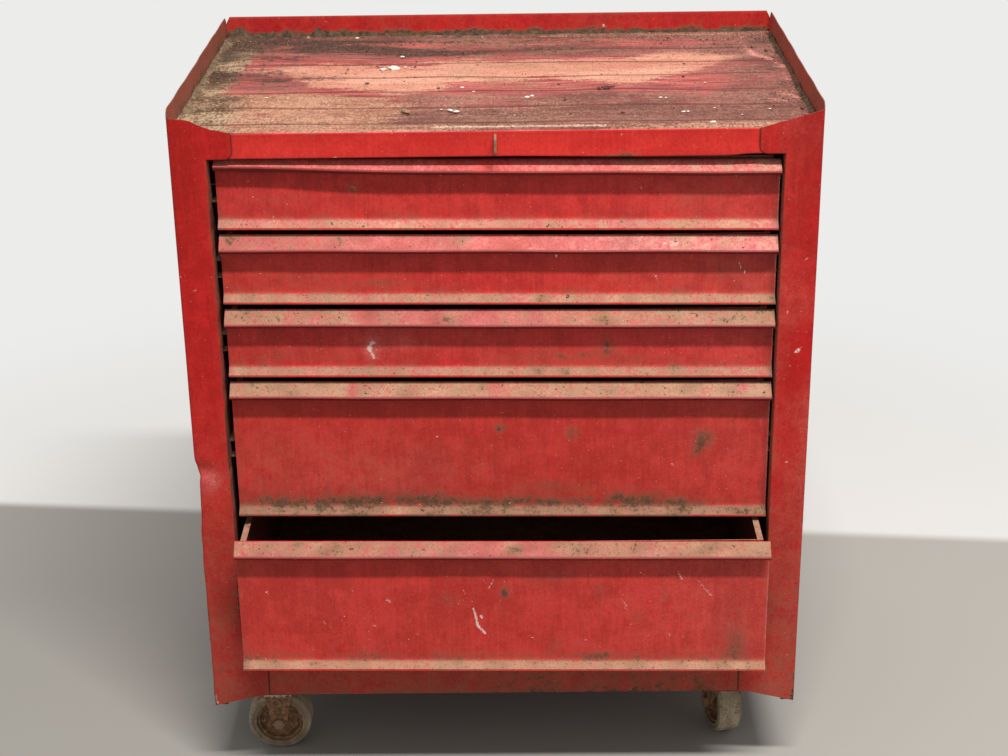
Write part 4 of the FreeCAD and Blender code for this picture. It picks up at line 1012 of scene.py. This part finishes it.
TRAY_WIPED = [
    (-286, 163, -170, 163, 4, 0.6), (-170, 163, 330, 163, 3, 0.3), (-17, 160, 71, 160, 6, 0.4),
    (-204, 48, -172, 48, 4, 0.5), (-200, 300, -130, 310, 5, 0.4), (60, 402, 130, 398, 6, 0.5),
    (150, 380, 300, 392, 5, 0.5), (200, 420, 290, 412, 5, 0.4), (-190, 396, -60, 398, 4, 0.5),
    (-110, 384, -60, 388, 4, 0.5),
]
TRAY_SMEARS = [
    (300, 420, 292, 380, 4, 0.5), (296, 366, 300, 340, 5, 0.6), (300, 330, 318, 300, 9, 0.7),
    (322, 280, 330, 262, 5, 0.6), (318, 262, 330, 252, 4, 0.5), (325, 205, 334, 180, 7, 0.5),
    (310, 150, 330, 120, 12, 0.55), (296, 120, 320, 100, 8, 0.5), (172, 214, 176, 196, 1.6, 0.6),
    (246, 222, 249, 212, 1.6, 0.6), (226, 196, 290, 200, 3, 0.45), (90, 372, 96, 392, 2, 0.4),
    (-230, 302, -228, 268, 2.5, 0.6), (-212, 280, -196, 262, 5, 0.4), (-262, 282, -240, 270, 6, 0.4),
]
TRAY_CREAM = [(-60, 15, 110, 15, 6, 0.8), (110, 12, 200, 12, 3, 0.4), (-200, 14, -60, 12, 3, 0.3)]


def tray_zones(x, q):
    """The zones of the tray, each half way between 0 and 1 along its border: bleached, dusty, black and
    film. Then a dark line along each bead, the pink smears and the cream edges."""
    places = [-250, -200, -150, -100, -50, 0, 50, 90, 130, 160, 200, 240, 260, 290, 315]
    upper = np.interp(x, places, [272, 306, 300, 288, 304, 305, 305, 307, 311, 315, 345, 340, 334, 331, 326])
    lower = np.interp(x, places, [255, 178, 166, 158, 186, 222, 222, 206, 186, 192, 222, 262, 290, 318, 325])
    inside = np.minimum(upper - q, q - lower) / 95
    bleached = 0.5 + np.clip(inside, -0.5, 0.5) + 0.12 * inside.clip(0, 1)
    border = [-262, -285, -292, -296, -292, -286, -284, -280]
    left = 0.5 + np.clip((np.interp(q, [0, 60, 120, 170, 240, 300, 360, 440], border) - x) / 42, -0.6, 0.5)
    tan_right = np.interp(q, [30, 60, 100, 140, 170], [-120, -100, -92, -112, -250])
    tan = 0.5 + np.clip(np.minimum((tan_right - x) / 90, np.minimum(q - 24, 164 - q) / 50), -0.6, 0.26)
    rear = 0.30 + np.clip((q - 424) / 26, -0.6, 0.2)
    front = 0.42 + np.clip((24 - q) / 30, -0.6, 0.2) * smooth(np.abs(x - 20), 60, 160)
    dusty = np.maximum.reduce([left, tan, rear, front])
    black = 0.22 * blots(x, q, TRAY_SMUTS) + 1.4 * blots(x, q, TRAY_STAINS)
    film = 0.30 + 0.42 * smooth(q, 312, 352) + 0.40 * smooth(-q, -168, -142) * smooth(x, -150, -80)
    film += 0.34 * smooth(x, 215, 300) + 0.26 * smooth(-q, -120, -60) + 0.4 * smooth(q, 396, 424)
    film += 0.10 * waves(x * 0.25, q, 60, 72) - 0.42 * np.clip(2 * (bleached - 0.35), 0, 1)
    film += blots(x, q, TRAY_FILM) - strokes(x, q, TRAY_WIPED)
    smears = strokes(x, q, TRAY_SMEARS)
    edge = smooth(-q, -3.6, -2.2) * (0.6 + 0.3 * waves(x, 0, 60, 75))
    bead = sum(bell(q - b - 2.0, 1.9) for b in BEADS) * (1 - smooth(np.abs(x), BEAD_HALF - 4, BEAD_HALF))
    zones = (bleached, dusty - 0.3 * smears, black - 0.3 * smears, film)
    return zones, (bead, smears + 0.3 * edge, strokes(x, q, TRAY_CREAM) + 0.12 * edge)


def columns(reach, count, near):
    """Even places across the cabinet, with more at the given distances from each of the two seams."""
    at_seams = [side * (SEAM + near) for side in SIDES.values()]
    return np.unique(np.round(np.concatenate([np.linspace(-reach, reach, count), *at_seams]), 3))


def make_top_tray():
    """The tray and the top rail in one sheet: up the rail, round its front edge, back over the tray with
    six pressed beads, and down behind. A bead is a dip of 1.5 mm with soft shoulders, and fades out at
    its ends. The rail hangs a little low at the right. Dirt lies in the seam round each tab."""
    offsets = np.array([-5, -4, -3.3, -2.7, -2, -1, 0, 1, 2, 2.7, 3.3, 4, 5])
    between = np.arange(5.5, 440.0, 4.6)
    between = between[np.min(np.abs(between[:, None] - np.array(BEADS)), axis=1) > 7]
    over = np.sort(np.concatenate([b + offsets for b in BEADS] + [between]))
    front, _ = rounded_path([(15, OPENING_TOP), (1, OPENING_TOP), (1, TRAY), (5, TRAY)], [1.5, 2.2], 1.4)
    behind = DEPTH - 2
    rear, _ = rounded_path([(440, TRAY), (behind, TRAY), (behind, TRAY - 12)], [1.5], 4)
    path = np.concatenate([front, np.stack([over, np.full(len(over), TRAY)], 1), rear])
    points = carried_along_x(path, columns(HALF_WIDTH - WALL, 193, np.arange(-1.0, 9.0, 0.7)))
    x, q, z = (points[..., k].copy() for k in range(3))
    level = z > TRAY - 0.01
    sink = plateau(q, 6, 60, 400, 440) * (0.9 + 0.9 * waves(x, q, 230, 73))
    dip = sum(np.exp(-(((q - b) / 2.4) ** 4)) for b in BEADS)
    points[..., 2] -= level * (1.5 * dip * (1 - smooth(np.abs(x), BEAD_HALF - 5, BEAD_HALF)) + sink)
    points[..., 2] -= 1.9 * plateau(x, 0, 160, 234, 268) * (1 - smooth(z, OPENING_TOP, OPENING_TOP + 20))
    points[..., 1] += 0.3 * (1 + waves(x, z, 200, 74)) * (q < 2) * bump(z, 766, 14)
    upright = np.clip(TRAY - z, 0, 2) / 2
    middle_x, middle_z = SEAM + TAB_ROUND, OPENING_TOP + TAB_ROUND
    corner = np.hypot(np.clip(middle_x - np.abs(x), 0, None), middle_z - z) - TAB_ROUND
    outside = np.where(z > middle_z, SEAM - np.abs(x), corner)
    low = np.exp(-(z - OPENING_TOP) / 1.5)
    grime = 0.03 + 0.2 * low
    grime += blots(x, z, [(-189, 778, 6, 3, 0.5), (134, 754, 10, 3, 0.6), (124, 752, 16, 2, 0.5)])
    spots = blots(x, z, [(-189, 779, 5, 2, 0.45), (135, 754, 7, 3, 0.5)])
    spots += strokes(x, z, [(-188, 763, -192, 755, 0.8, 0.45), (-236, 758, -235, 755, 1.0, 0.4)])
    chips = [
        (-166, 752.5, -164, 753.5, 1.5, 0.6), (128, 776, 130, 774, 1.2, 0.6),
        (-240, 773, -238, 772, 1.2, 0.5),
    ]
    sheltered = 0.85 * bell(np.clip(outside, 0, None), 1.1) + 0.18 * bump(z, 776.5, 2.5)
    zones, lines = tray_zones(x, q)
    flat = (z > TRAY - 1.5) & (q > 2.0)
    pale = strokes(x, z, chips)
    front = (0.02, grime * upright, (0.12 + 0.15 * low) * upright, 0.4)
    front += (pale * upright, spots * upright, sheltered * upright, 0)
    finish = [np.where(flat, over, upright_one) for over, upright_one in zip((*lines, 0, *zones), front)]
    folded_sheet("tray_and_rail", [patch(points, finish)], "top_tray", [tray_enamel, case_edge])


def make_back():
    """The back panel. Its sheet runs up the back, folds forward over the rim's edge and ends in a hem,
    and its upper corners slope in."""
    behind, before = DEPTH - 1, DEPTH - 3
    panel = np.stack([np.full(70, behind), np.linspace(POST_BOTTOM, TRAY, 71)[:-1]], 1)
    corners = [(behind, TRAY), (behind, RIM_TOP), (before, RIM_TOP), (before, TRAY + 2)]
    rim, _ = rounded_path(corners, [0.99, 0.99], 2.6)
    path = np.concatenate([panel, rim])
    share = np.linspace(-1, 1, 201)
    points = carried_along_x(path, share)
    points[..., 0] *= HALF_WIDTH - 1.2 - 4.5 * np.clip((path[:, 1:] - 796.5) / 8.5, 0, 1)
    x, z = points[..., 0], points[..., 2]
    hem = points[..., 1] < DEPTH - 2
    points[..., 1] += (0.35 * waves(x, z, 260, 81) - 0.35) * smooth(-z, -770, -700) * bump(z, 430, 330)
    height = z - TRAY + 2.4 * waves(x, 0, 44, 83) + 1.6 * waves(x, 0, 13, 84)
    mud = hem * (1 - smooth(height, 4.0, 7.0))
    top = smooth(z, RIM_TOP - 2.5, RIM_TOP - 0.5)
    grime = 0.07 + mud + 0.08 * waves(x, z, 150, 82) + 0.2 * np.exp(-(z - POST_BOTTOM) / 40) + 0.3 * top
    stains = [(20, 797, 5, 3, 0.4), (85, 792, 6, 3, 0.35), (-190, 800, 4, 3, 0.3), (200, 794, 8, 3, 0.3)]
    chips = [
        (131, 790, 133, 787, 1.6, 0.7), (158, 799, 159, 797, 1.2, 0.6), (-212, 799, -210, 797, 1.4, 0.6),
    ]
    spots = 0.25 * mud + hem * blots(x, z, stains)
    finish = (0.05 + 0.10 * mud, grime, 0.12 + 0.2 * top, 0.5, hem * strokes(x, z, chips), spots)
    folded_sheet("back_sheet", [patch(points, finish, flip=True)], "back_panel", [case_enamel, case_edge])


def make_bottom_rail():
    """The rail under the bottom drawer, folded back above and below. It is the grimiest of the red
    parts."""
    corners = [(15, RAIL_BOTTOM), (1, RAIL_BOTTOM), (1, OPENING_BOTTOM), (15, OPENING_BOTTOM)]
    path, _ = rounded_path(corners, [1.8, 1.8], 2.0)
    points = carried_along_x(path, columns(HALF_WIDTH - 2, 301, np.array([-2.0, -1.2, -0.6, 0, 0.6])))
    x, z = points[..., 0], points[..., 2]
    points[..., 1] += 0.4 * (1 + waves(x, z, 170, 91)) * bump(z, 135, 24)
    low = np.exp(-(z - RAIL_BOTTOM) / 9)
    seam = bell(np.clip(SEAM - np.abs(x), 0, None), 1.1)
    middle = plateau(x, -60, 10, 225, 262)
    ragged = 0.6 + 0.5 * waves(x, 0, 80, 92) + 0.3 * waves(x, 0, 26, 95)
    grime = 0.24 + 0.45 * low * ragged + 0.22 * middle * (0.9 + 0.6 * waves(x, z, 36, 93))
    spots = 0.04 + 0.15 * middle * (0.8 + 0.9 * waves(x, z, 24, 94)) + 0.3 * low * middle * ragged
    finish = (0.13, grime, 0.15 + 0.15 * low, 0.7, 0, spots, 0.85 * seam)
    folded_sheet("lower_rail", [patch(points, finish)], "bottom_rail", [case_enamel, case_edge])


# Of each caster: the wheel's body and the way its axle points, in degrees from x
CASTERS = {
    "rigid_caster_front": ("rigid_wheel_front", 90.0),
    "rigid_caster_rear": ("rigid_wheel_rear", 90.0),
    "swivel_caster_front": ("swivel_wheel_front", 14.5),
    "swivel_caster_rear": ("swivel_wheel_rear", -24.0),
}


def turned(centre, heading, half, rounding, step, rough=0.0, seed=1):
    """A ring turned about a level axle. Its profile is closed, with rounded corners, and the same on both
    sides: half of it is given as points (distance along the axle, radius), from the inside out. The
    ring's surface is worn inward by up to rough."""
    corners = [(-along, radius) for along, radius in half] + half[::-1]
    start = ((corners[0][0] + corners[-1][0]) / 2, corners[0][1])
    profile, _ = rounded_path([start, *corners, start], rounding + rounding[::-1], step)
    angle = np.linspace(0, 2 * np.pi, 96, endpoint=False)
    along, radius = (profile[:-1, k, None] + 0 * angle for k in range(2))
    radius = radius - rough * (0.5 + 0.5 * waves(angle * 60, along * 3, 60, seed))
    ring = bell(radius - 36.2, 1.3) * (np.abs(along) > 10)
    tread = (np.abs(along) < 11) * (radius > 36)
    worn = waves(angle * 38, along, 30, seed + 1)
    finish = (0.34 + 0.5 * ring + (0.62 + 0.2 * worn) * tread, 0.3 + 0.2 * worn, 0, 0.5 + 0.3 * worn)
    turn, level = math.radians(heading), radius * np.cos(angle)
    x = centre[0] + along * math.cos(turn) - level * math.sin(turn)
    q = centre[1] + along * math.sin(turn) + level * math.cos(turn)
    points = np.stack([x, q, centre[2] + radius * np.sin(angle)], -1)
    return patch(points, finish, wrap_rows=True, wrap_columns=True)


def make_wheel(name, body, heading):
    """A rubber tyre with soft shoulders and a ring pressed into each side, on a pressed hub."""
    low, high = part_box(f"{name}_tyre")
    centre = (np.array(low) + np.array(high)) / 2 / MM - (0, FRONT_PLANE, 0)
    tyre = [(14, 28.1), (14, 30.2), (13.2, 30.9), (13.2, 31.8), (14, 32.6), (14, 38)]
    seed = 100 + len(name) + int(heading)
    ring = turned(centre, heading, tyre, [0.5, 0.3, 0.3, 0.3, 0.5, 4.8], 2.0, 0.5, seed)
    make_piece(f"{name}_tread", *ring, [tyre_rubber], [f"{name}_tyre"], body, "tyre")
    hub = [(-14.7, 4.1), (-14.7, 10), (-4, 10), (-4, 24), (-11, 24), (-11, 28)]
    ring = turned(centre, heading, hub, [0.4, 1.5, 2.0, 3.0, 0.8, 0.6], 2.5)
    make_piece(f"{name}_rim", *ring, [hub_rust], [f"{name}_hub"], body, "wheel_hub")


def heap(name, points, material):
    """Dirt lying on the tray: a bumpy upper surface over a flat underside that just sinks into the
    sheet."""
    upper = points.reshape(-1, 3)
    lower = upper.copy()
    lower[:, 2] = TRAY - 1.9
    points, faces, _ = shell(upper, lower, cells(*points.shape[:2]))
    make_piece(name, points, faces, np.zeros((len(points), 4)), [material], sharp=80)


def lumpy(a, b, seed):
    """A lumpy height from about 0 to 1: waves of three lengths, each folded so that it has rounded
    tops."""
    sizes = ((26, 0.8), (11, 0.7), (5, 0.5))
    return sum(share * np.abs(waves(a, b, size, seed + k)) for k, (size, share) in enumerate(sizes))


def make_soil_heaps():
    """The dirt blown against the rims: a dark ridge along the rear one, a khaki drift along the left one
    and a thin line along the right one. Height falls off from the rim, and the width wanders."""
    xs = np.linspace(-332, 332, 421)
    share = np.linspace(0, 1, 17)[:, None]
    height = np.interp(xs, [-332, -300, -240, -215, -150, -60, 0, 60, 332], [11, 8, 6, 8, 5, 6, 4.5, 4, 3])
    height = np.clip(height + 2.0 * waves(xs, 0, 46, 111) + 1.8 * waves(xs, 0, 12, 112), 4.2, 13)
    width = np.interp(xs, [-332, -280, 0, 332], [22, 9, 7, 5]) + 2 * waves(xs, 0, 90, 113)
    q = 442.4 - np.clip(width, 3, 30) * share
    lumps = lumpy(xs + 0 * share, q, 114) - 0.45
    z = TRAY - 1.8 + height * (1 - share) ** 1.8 + 2.4 * lumps * (1 - share) ** 0.5
    heap("rear_soil", np.stack([xs + 0 * share, q, np.maximum(z, TRAY - 1.8)], -1), soil_dark)
    qs = np.linspace(12, 432, 421)
    for side, material, tall, wide, start in (
        ("left", soil_khaki, 3.4, 11, 120), ("right", soil_dark, 3.0, 6, 40),
    ):
        sign = SIDES[side]
        height = tall * (0.8 + 0.5 * waves(qs, 0, 60, 121 + sign)) * smooth(qs, 10, start)
        x = sign * (333.5 - wide * (0.9 + 0.3 * waves(qs, 0, 110, 123 + sign)) * share)
        lumps = lumpy(x, qs + 0 * share, 125 + sign) - 0.4
        z = TRAY - 2.0 + height * (1 - share) ** 1.3 + 2.0 * lumps * (1 - share) ** 0.6
        grid = np.stack([x, qs + 0 * share, np.clip(z, TRAY - 1.8, TRAY + 9)], -1)
        heap(f"{side}_soil", grid[:, ::sign], material)


def stones(name, places, sizes, flat, material, seed, stretch=0.5):
    """Many small crumbs in one mesh: each is a ball of eight by five points, squashed, stretched, turned
    and made uneven."""
    draw = np.random.default_rng(seed)
    count = len(places)
    angle = np.linspace(0, 2 * np.pi, 8, endpoint=False)
    rise = np.radians([-80, -35, 10, 45, 80])[:, None]
    level = np.cos(rise)
    ball = np.stack([level * np.cos(angle), level * np.sin(angle), np.sin(rise) + 0 * angle], -1)
    ball = ball[None] * draw.uniform(0.72, 1.15, (count, 5, 8, 1))
    ball[..., :2] *= draw.uniform(1 - stretch, 1 + stretch, (count, 1, 1, 2))
    turn = draw.uniform(0, 6.28, (count, 1, 1))
    x = ball[..., 0] * np.cos(turn) - ball[..., 1] * np.sin(turn)
    y = ball[..., 0] * np.sin(turn) + ball[..., 1] * np.cos(turn)
    size = np.asarray(sizes)[:, None, None]
    points = np.stack([x * size, y * size, ball[..., 2] * size * flat], -1)
    points += np.asarray(places)[:, None, None]
    caps = np.array([[0, 3, 2, 1], [0, 5, 4, 3], [0, 7, 6, 5]])
    one = np.concatenate([cells(5, 8, wrap_columns=True), caps, caps[:, ::-1] + 32])
    faces = (one[None] + 40 * np.arange(count)[:, None, None]).reshape(-1, 4)
    make_piece(name, points.reshape(-1, 3), faces, np.zeros((count * 40, 4)), [material], sharp=50)


# Where single crumbs lie on the tray: x, q and size
PAINT_FLAKES = [
    (-131, 268, 5.0), (-119, 274, 8.0), (-106, 277, 2.4), (-112, 328, 4.6), (-96, 278, 3.0), (-38, 179, 3.6),
    (34, 134, 4.2), (39, 139, 3.6), (178, 126, 3.0), (184, 125, 2.0), (198, 66, 4.0), (203, 67, 2.4),
    (225, 24, 4.0), (-48, 82, 4.6), (-42, 77, 3.8), (232, 80, 1.8), (232, 189, 2.0), (-251, 144, 2.2),
    (-173, 430, 3.4), (-25, 161, 1.8), (-19, 425, 1.8), (-58, 86, 1.6), (20, 60, 1.4), (146, 50, 1.4),
    (258, 52, 2.2), (290, 74, 1.6),
]
DIRT_LUMPS = [
    (122, 169, 4.2), (128, 173, 3.2), (113, 167, 3.4), (118, 172, 2.6), (75, 119, 2.4), (-145, 200, 2.8),
    (134, 65, 2.0), (79, 61, 2.4), (-64, 176, 1.8), (324, 74, 3.0), (318, 338, 4.0), (-95, 277, 2.0),
    (210, 216, 2.6),
]
GREY_STONES = [(-96, 75, 5.2), (-233, 427, 5.0), (-172, 268, 2.4)]


def scatter_dirt():
    """Crumbs of dirt over the tray, thick near the rear rim, on the left and in the corners, and the
    single flakes, lumps and stones."""
    draw = np.random.default_rng(7)
    count = 3600
    x = draw.uniform(-330, 330, count)
    kind = draw.uniform(size=count)
    near, anywhere = 432 - np.abs(draw.normal(0, 26, count)), 438 - np.abs(draw.normal(0, 210, count))
    q = np.where(kind < 0.45, near, anywhere)
    beside = draw.uniform(size=count) < 0.3
    side = np.where(draw.uniform(size=count) < 0.62, -1, 1)
    x = np.where(beside, side * (331 - np.abs(draw.normal(0, np.where(side < 0, 26, 10), count))), x)
    q = np.where(beside, draw.uniform(12, 436, count), q)
    keep = (q > 10) & (np.abs(x) < 331)
    size = draw.gamma(2.0, 0.24, count).clip(0.25, 1.5)
    places = np.stack([x, q, TRAY - 0.9 + size * 0.25], -1)[keep]
    size = size[keep]
    half = len(places) * 3 // 5
    stones("grit_dark", places[:half], size[:half], 0.5, soil_brown, 8)
    stones("grit_pale", places[half:], size[half:] * 0.85, 0.5, soil_pale, 9)
    for name, crumbs, above, share, flat, material, seed, stretch in (
        ("paint_flakes", PAINT_FLAKES, -0.2, 0.8, 0.34, chip_white, 10, 0.3),
        ("dirt_lumps", DIRT_LUMPS, 0.2, 0.9, 0.5, soil_brown, 11, 0.5),
        ("grey_stones", GREY_STONES, 0.6, 1.0, 0.6, soil_pale, 12, 0.5),
    ):
        x, q, size = np.array(crumbs).T
        places = np.stack([x, q, np.full(len(x), TRAY + above)], -1)
        stones(name, places, share * size, flat, material, seed, stretch)


for drawer in DRAWERS:
    make_drawer_front(drawer)
for side_name in SIDES:
    make_side(side_name)
make_bent_upright()
make_top_tray()
make_back()
make_bottom_rail()
for caster, (wheel_body, wheel_heading) in CASTERS.items():
    make_wheel(caster, wheel_body, wheel_heading)
make_soil_heaps()
scatter_dirt()

# The nodes that keep their shape get the finish of their kind
NODE_FINISH = {
    "_box": shaded_inner_enamel,
    "bottom_pan": shaded_inner_enamel,
    "upright_": shaded_inner_enamel,
    "_channels": shaded_slide_zinc,
    "_runners": shaded_slide_zinc,
    "caster_channel_": shaded_inner_enamel,
    "caster_bolts": screw_steel,
    "_screws": screw_steel,
    "_axle": axle_steel,
    "_balls": screw_steel,
    "_kingpin": screw_steel,
    "_bracket": caster_zinc,
    "_plate": caster_zinc,
    "_fork": caster_zinc,
    "padlock_eye": axle_steel,
}
for node_name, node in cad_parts.items():
    for word, finish_of_kind in NODE_FINISH.items():
        if word in node_name:
            for part in node if isinstance(node, (list, tuple)) else [node]:
                part.data.materials.clear()
                part.data.materials.append(finish_of_kind)


# The floor, the lamps and the camera

WHITE = {"Color": (0.84, 0.84, 0.83), "Strength": 1.0}
CAMERA_PLACE = (0.0229, -2.0856, 1.3038)
CAMERA_TURNS = {"pitch": 0.4002, "yaw": 0.0092, "roll": -0.0140}


def seen_directly(nodes):
    """1 for what the camera sees, also through glass or in a mirror."""
    ray = nodes.add("LightPath").outputs
    seen = nodes.maths("MAXIMUM", ray["Is Camera Ray"], ray["Is Glossy Ray"])
    return nodes.maths("MAXIMUM", seen, ray["Is Transmission Ray"])


def make_floor():
    """A large floor, pale grey up to a line behind the cabinet and white beyond it."""
    size = 14.0
    mesh = bpy.data.meshes.new("floor")
    corners = [(-size, -size, 0), (size, -size, 0), (size, size, 0), (-size, size, 0)]
    mesh.from_pydata(corners, [], [(0, 1, 2, 3)])
    floor = bpy.data.objects.new("floor", mesh)
    bpy.context.scene.collection.objects.link(floor)
    material, nodes = new_material("floor")
    where = nodes.position()
    beyond = nodes.rise(-0.01, 0.02, where["Y"], (where["X"], 0.1), -0.44)
    # The grey is darker on the left and lighter on the right: a painted shading of the floor.
    grey = nodes.blend((0.285, 0.28, 0.26), (0.375, 0.365, 0.34), -0.8, 0.8, where["X"])
    diffuse = nodes.add("BsdfDiffuse", {"Color": nodes.mix(beyond, grey, (0.62, 0.62, 0.61))}).outputs[0]
    glow = nodes.add("Emission", WHITE).outputs[0]
    away = nodes.add("VectorMath", {0: nodes.add("TexCoord").outputs["Object"]}, operation="LENGTH")
    far = nodes.rise(0.7, 1.6, away.outputs["Value"])
    share = nodes.maths("MULTIPLY", seen_directly(nodes), nodes.maths("MULTIPLY", beyond, far))
    shader = nodes.add("MixShader", {0: share, 1: diffuse, 2: glow}).outputs[0]
    nodes.add("OutputMaterial", {"Surface": shader})
    mesh.materials.append(material)


def make_world():
    """Even soft light from all round. The background is nearly white wherever it is seen directly."""
    world = bpy.data.worlds.new("studio")
    bpy.context.scene.world = world
    world.use_nodes = True
    world.node_tree.nodes.clear()
    nodes = Nodes(world.node_tree)
    light = nodes.add("Background", {"Color": (1.0, 0.98, 0.96), "Strength": 0.5}).outputs[0]
    white = nodes.add("Background", WHITE).outputs[0]
    both = nodes.add("MixShader", {0: seen_directly(nodes), 1: light, 2: white}).outputs[0]
    nodes.add("OutputWorld", {"Surface": both})


def make_lamp(name, place, target, width, depth, power, colour=(1.0, 0.97, 0.93)):
    """A rectangular lamp aimed at a point."""
    light = bpy.data.lights.new(name, "AREA")
    light.shape = "RECTANGLE"
    light.size, light.size_y = width, depth
    light.energy = power
    light.color = colour
    lamp = bpy.data.objects.new(name, light)
    bpy.context.scene.collection.objects.link(lamp)
    lamp.location = place
    away = np.array(place) - np.array(target)
    away /= np.linalg.norm(away)
    right = np.cross((0, 0, 1), away)
    right /= np.linalg.norm(right)
    lamp.rotation_euler = Matrix(np.stack([right, np.cross(away, right), away], 1).tolist()).to_euler()


def turning(axis, angle):
    """The matrix that turns about axis 0, 1 or 2 by an angle."""
    matrix = np.eye(3)
    first, second = (axis + 1) % 3, (axis + 2) % 3
    matrix[first, first] = matrix[second, second] = math.cos(angle)
    matrix[second, first] = math.sin(angle)
    matrix[first, second] = -math.sin(angle)
    return matrix


def make_camera():
    """The camera stands about 1.9 m in front of the posts and looks down at the cabinet."""
    level = np.array([[1.0, 0, 0], [0, 0, -1], [0, 1, 0]])
    tilted = turning(0, CAMERA_TURNS["pitch"]) @ turning(1, CAMERA_TURNS["yaw"])
    right, below, ahead = turning(2, CAMERA_TURNS["roll"]) @ tilted @ level
    data = bpy.data.cameras.new("camera")
    data.sensor_width = 36.0
    data.lens = 67.89
    camera = bpy.data.objects.new("camera", data)
    bpy.context.scene.collection.objects.link(camera)
    placed = np.eye(4)
    placed[:3] = np.stack([right, -below, -ahead, CAMERA_PLACE], 1)
    camera.matrix_world = Matrix(placed.tolist())
    bpy.context.scene.camera = camera


make_floor()
make_world()
make_lamp("key", (0.75, -2.55, 5.0), (0.75, -0.2, 0.5), 2.6, 0.28, 365.0)
make_camera()
bpy.context.scene.view_settings.view_transform = "Standard"
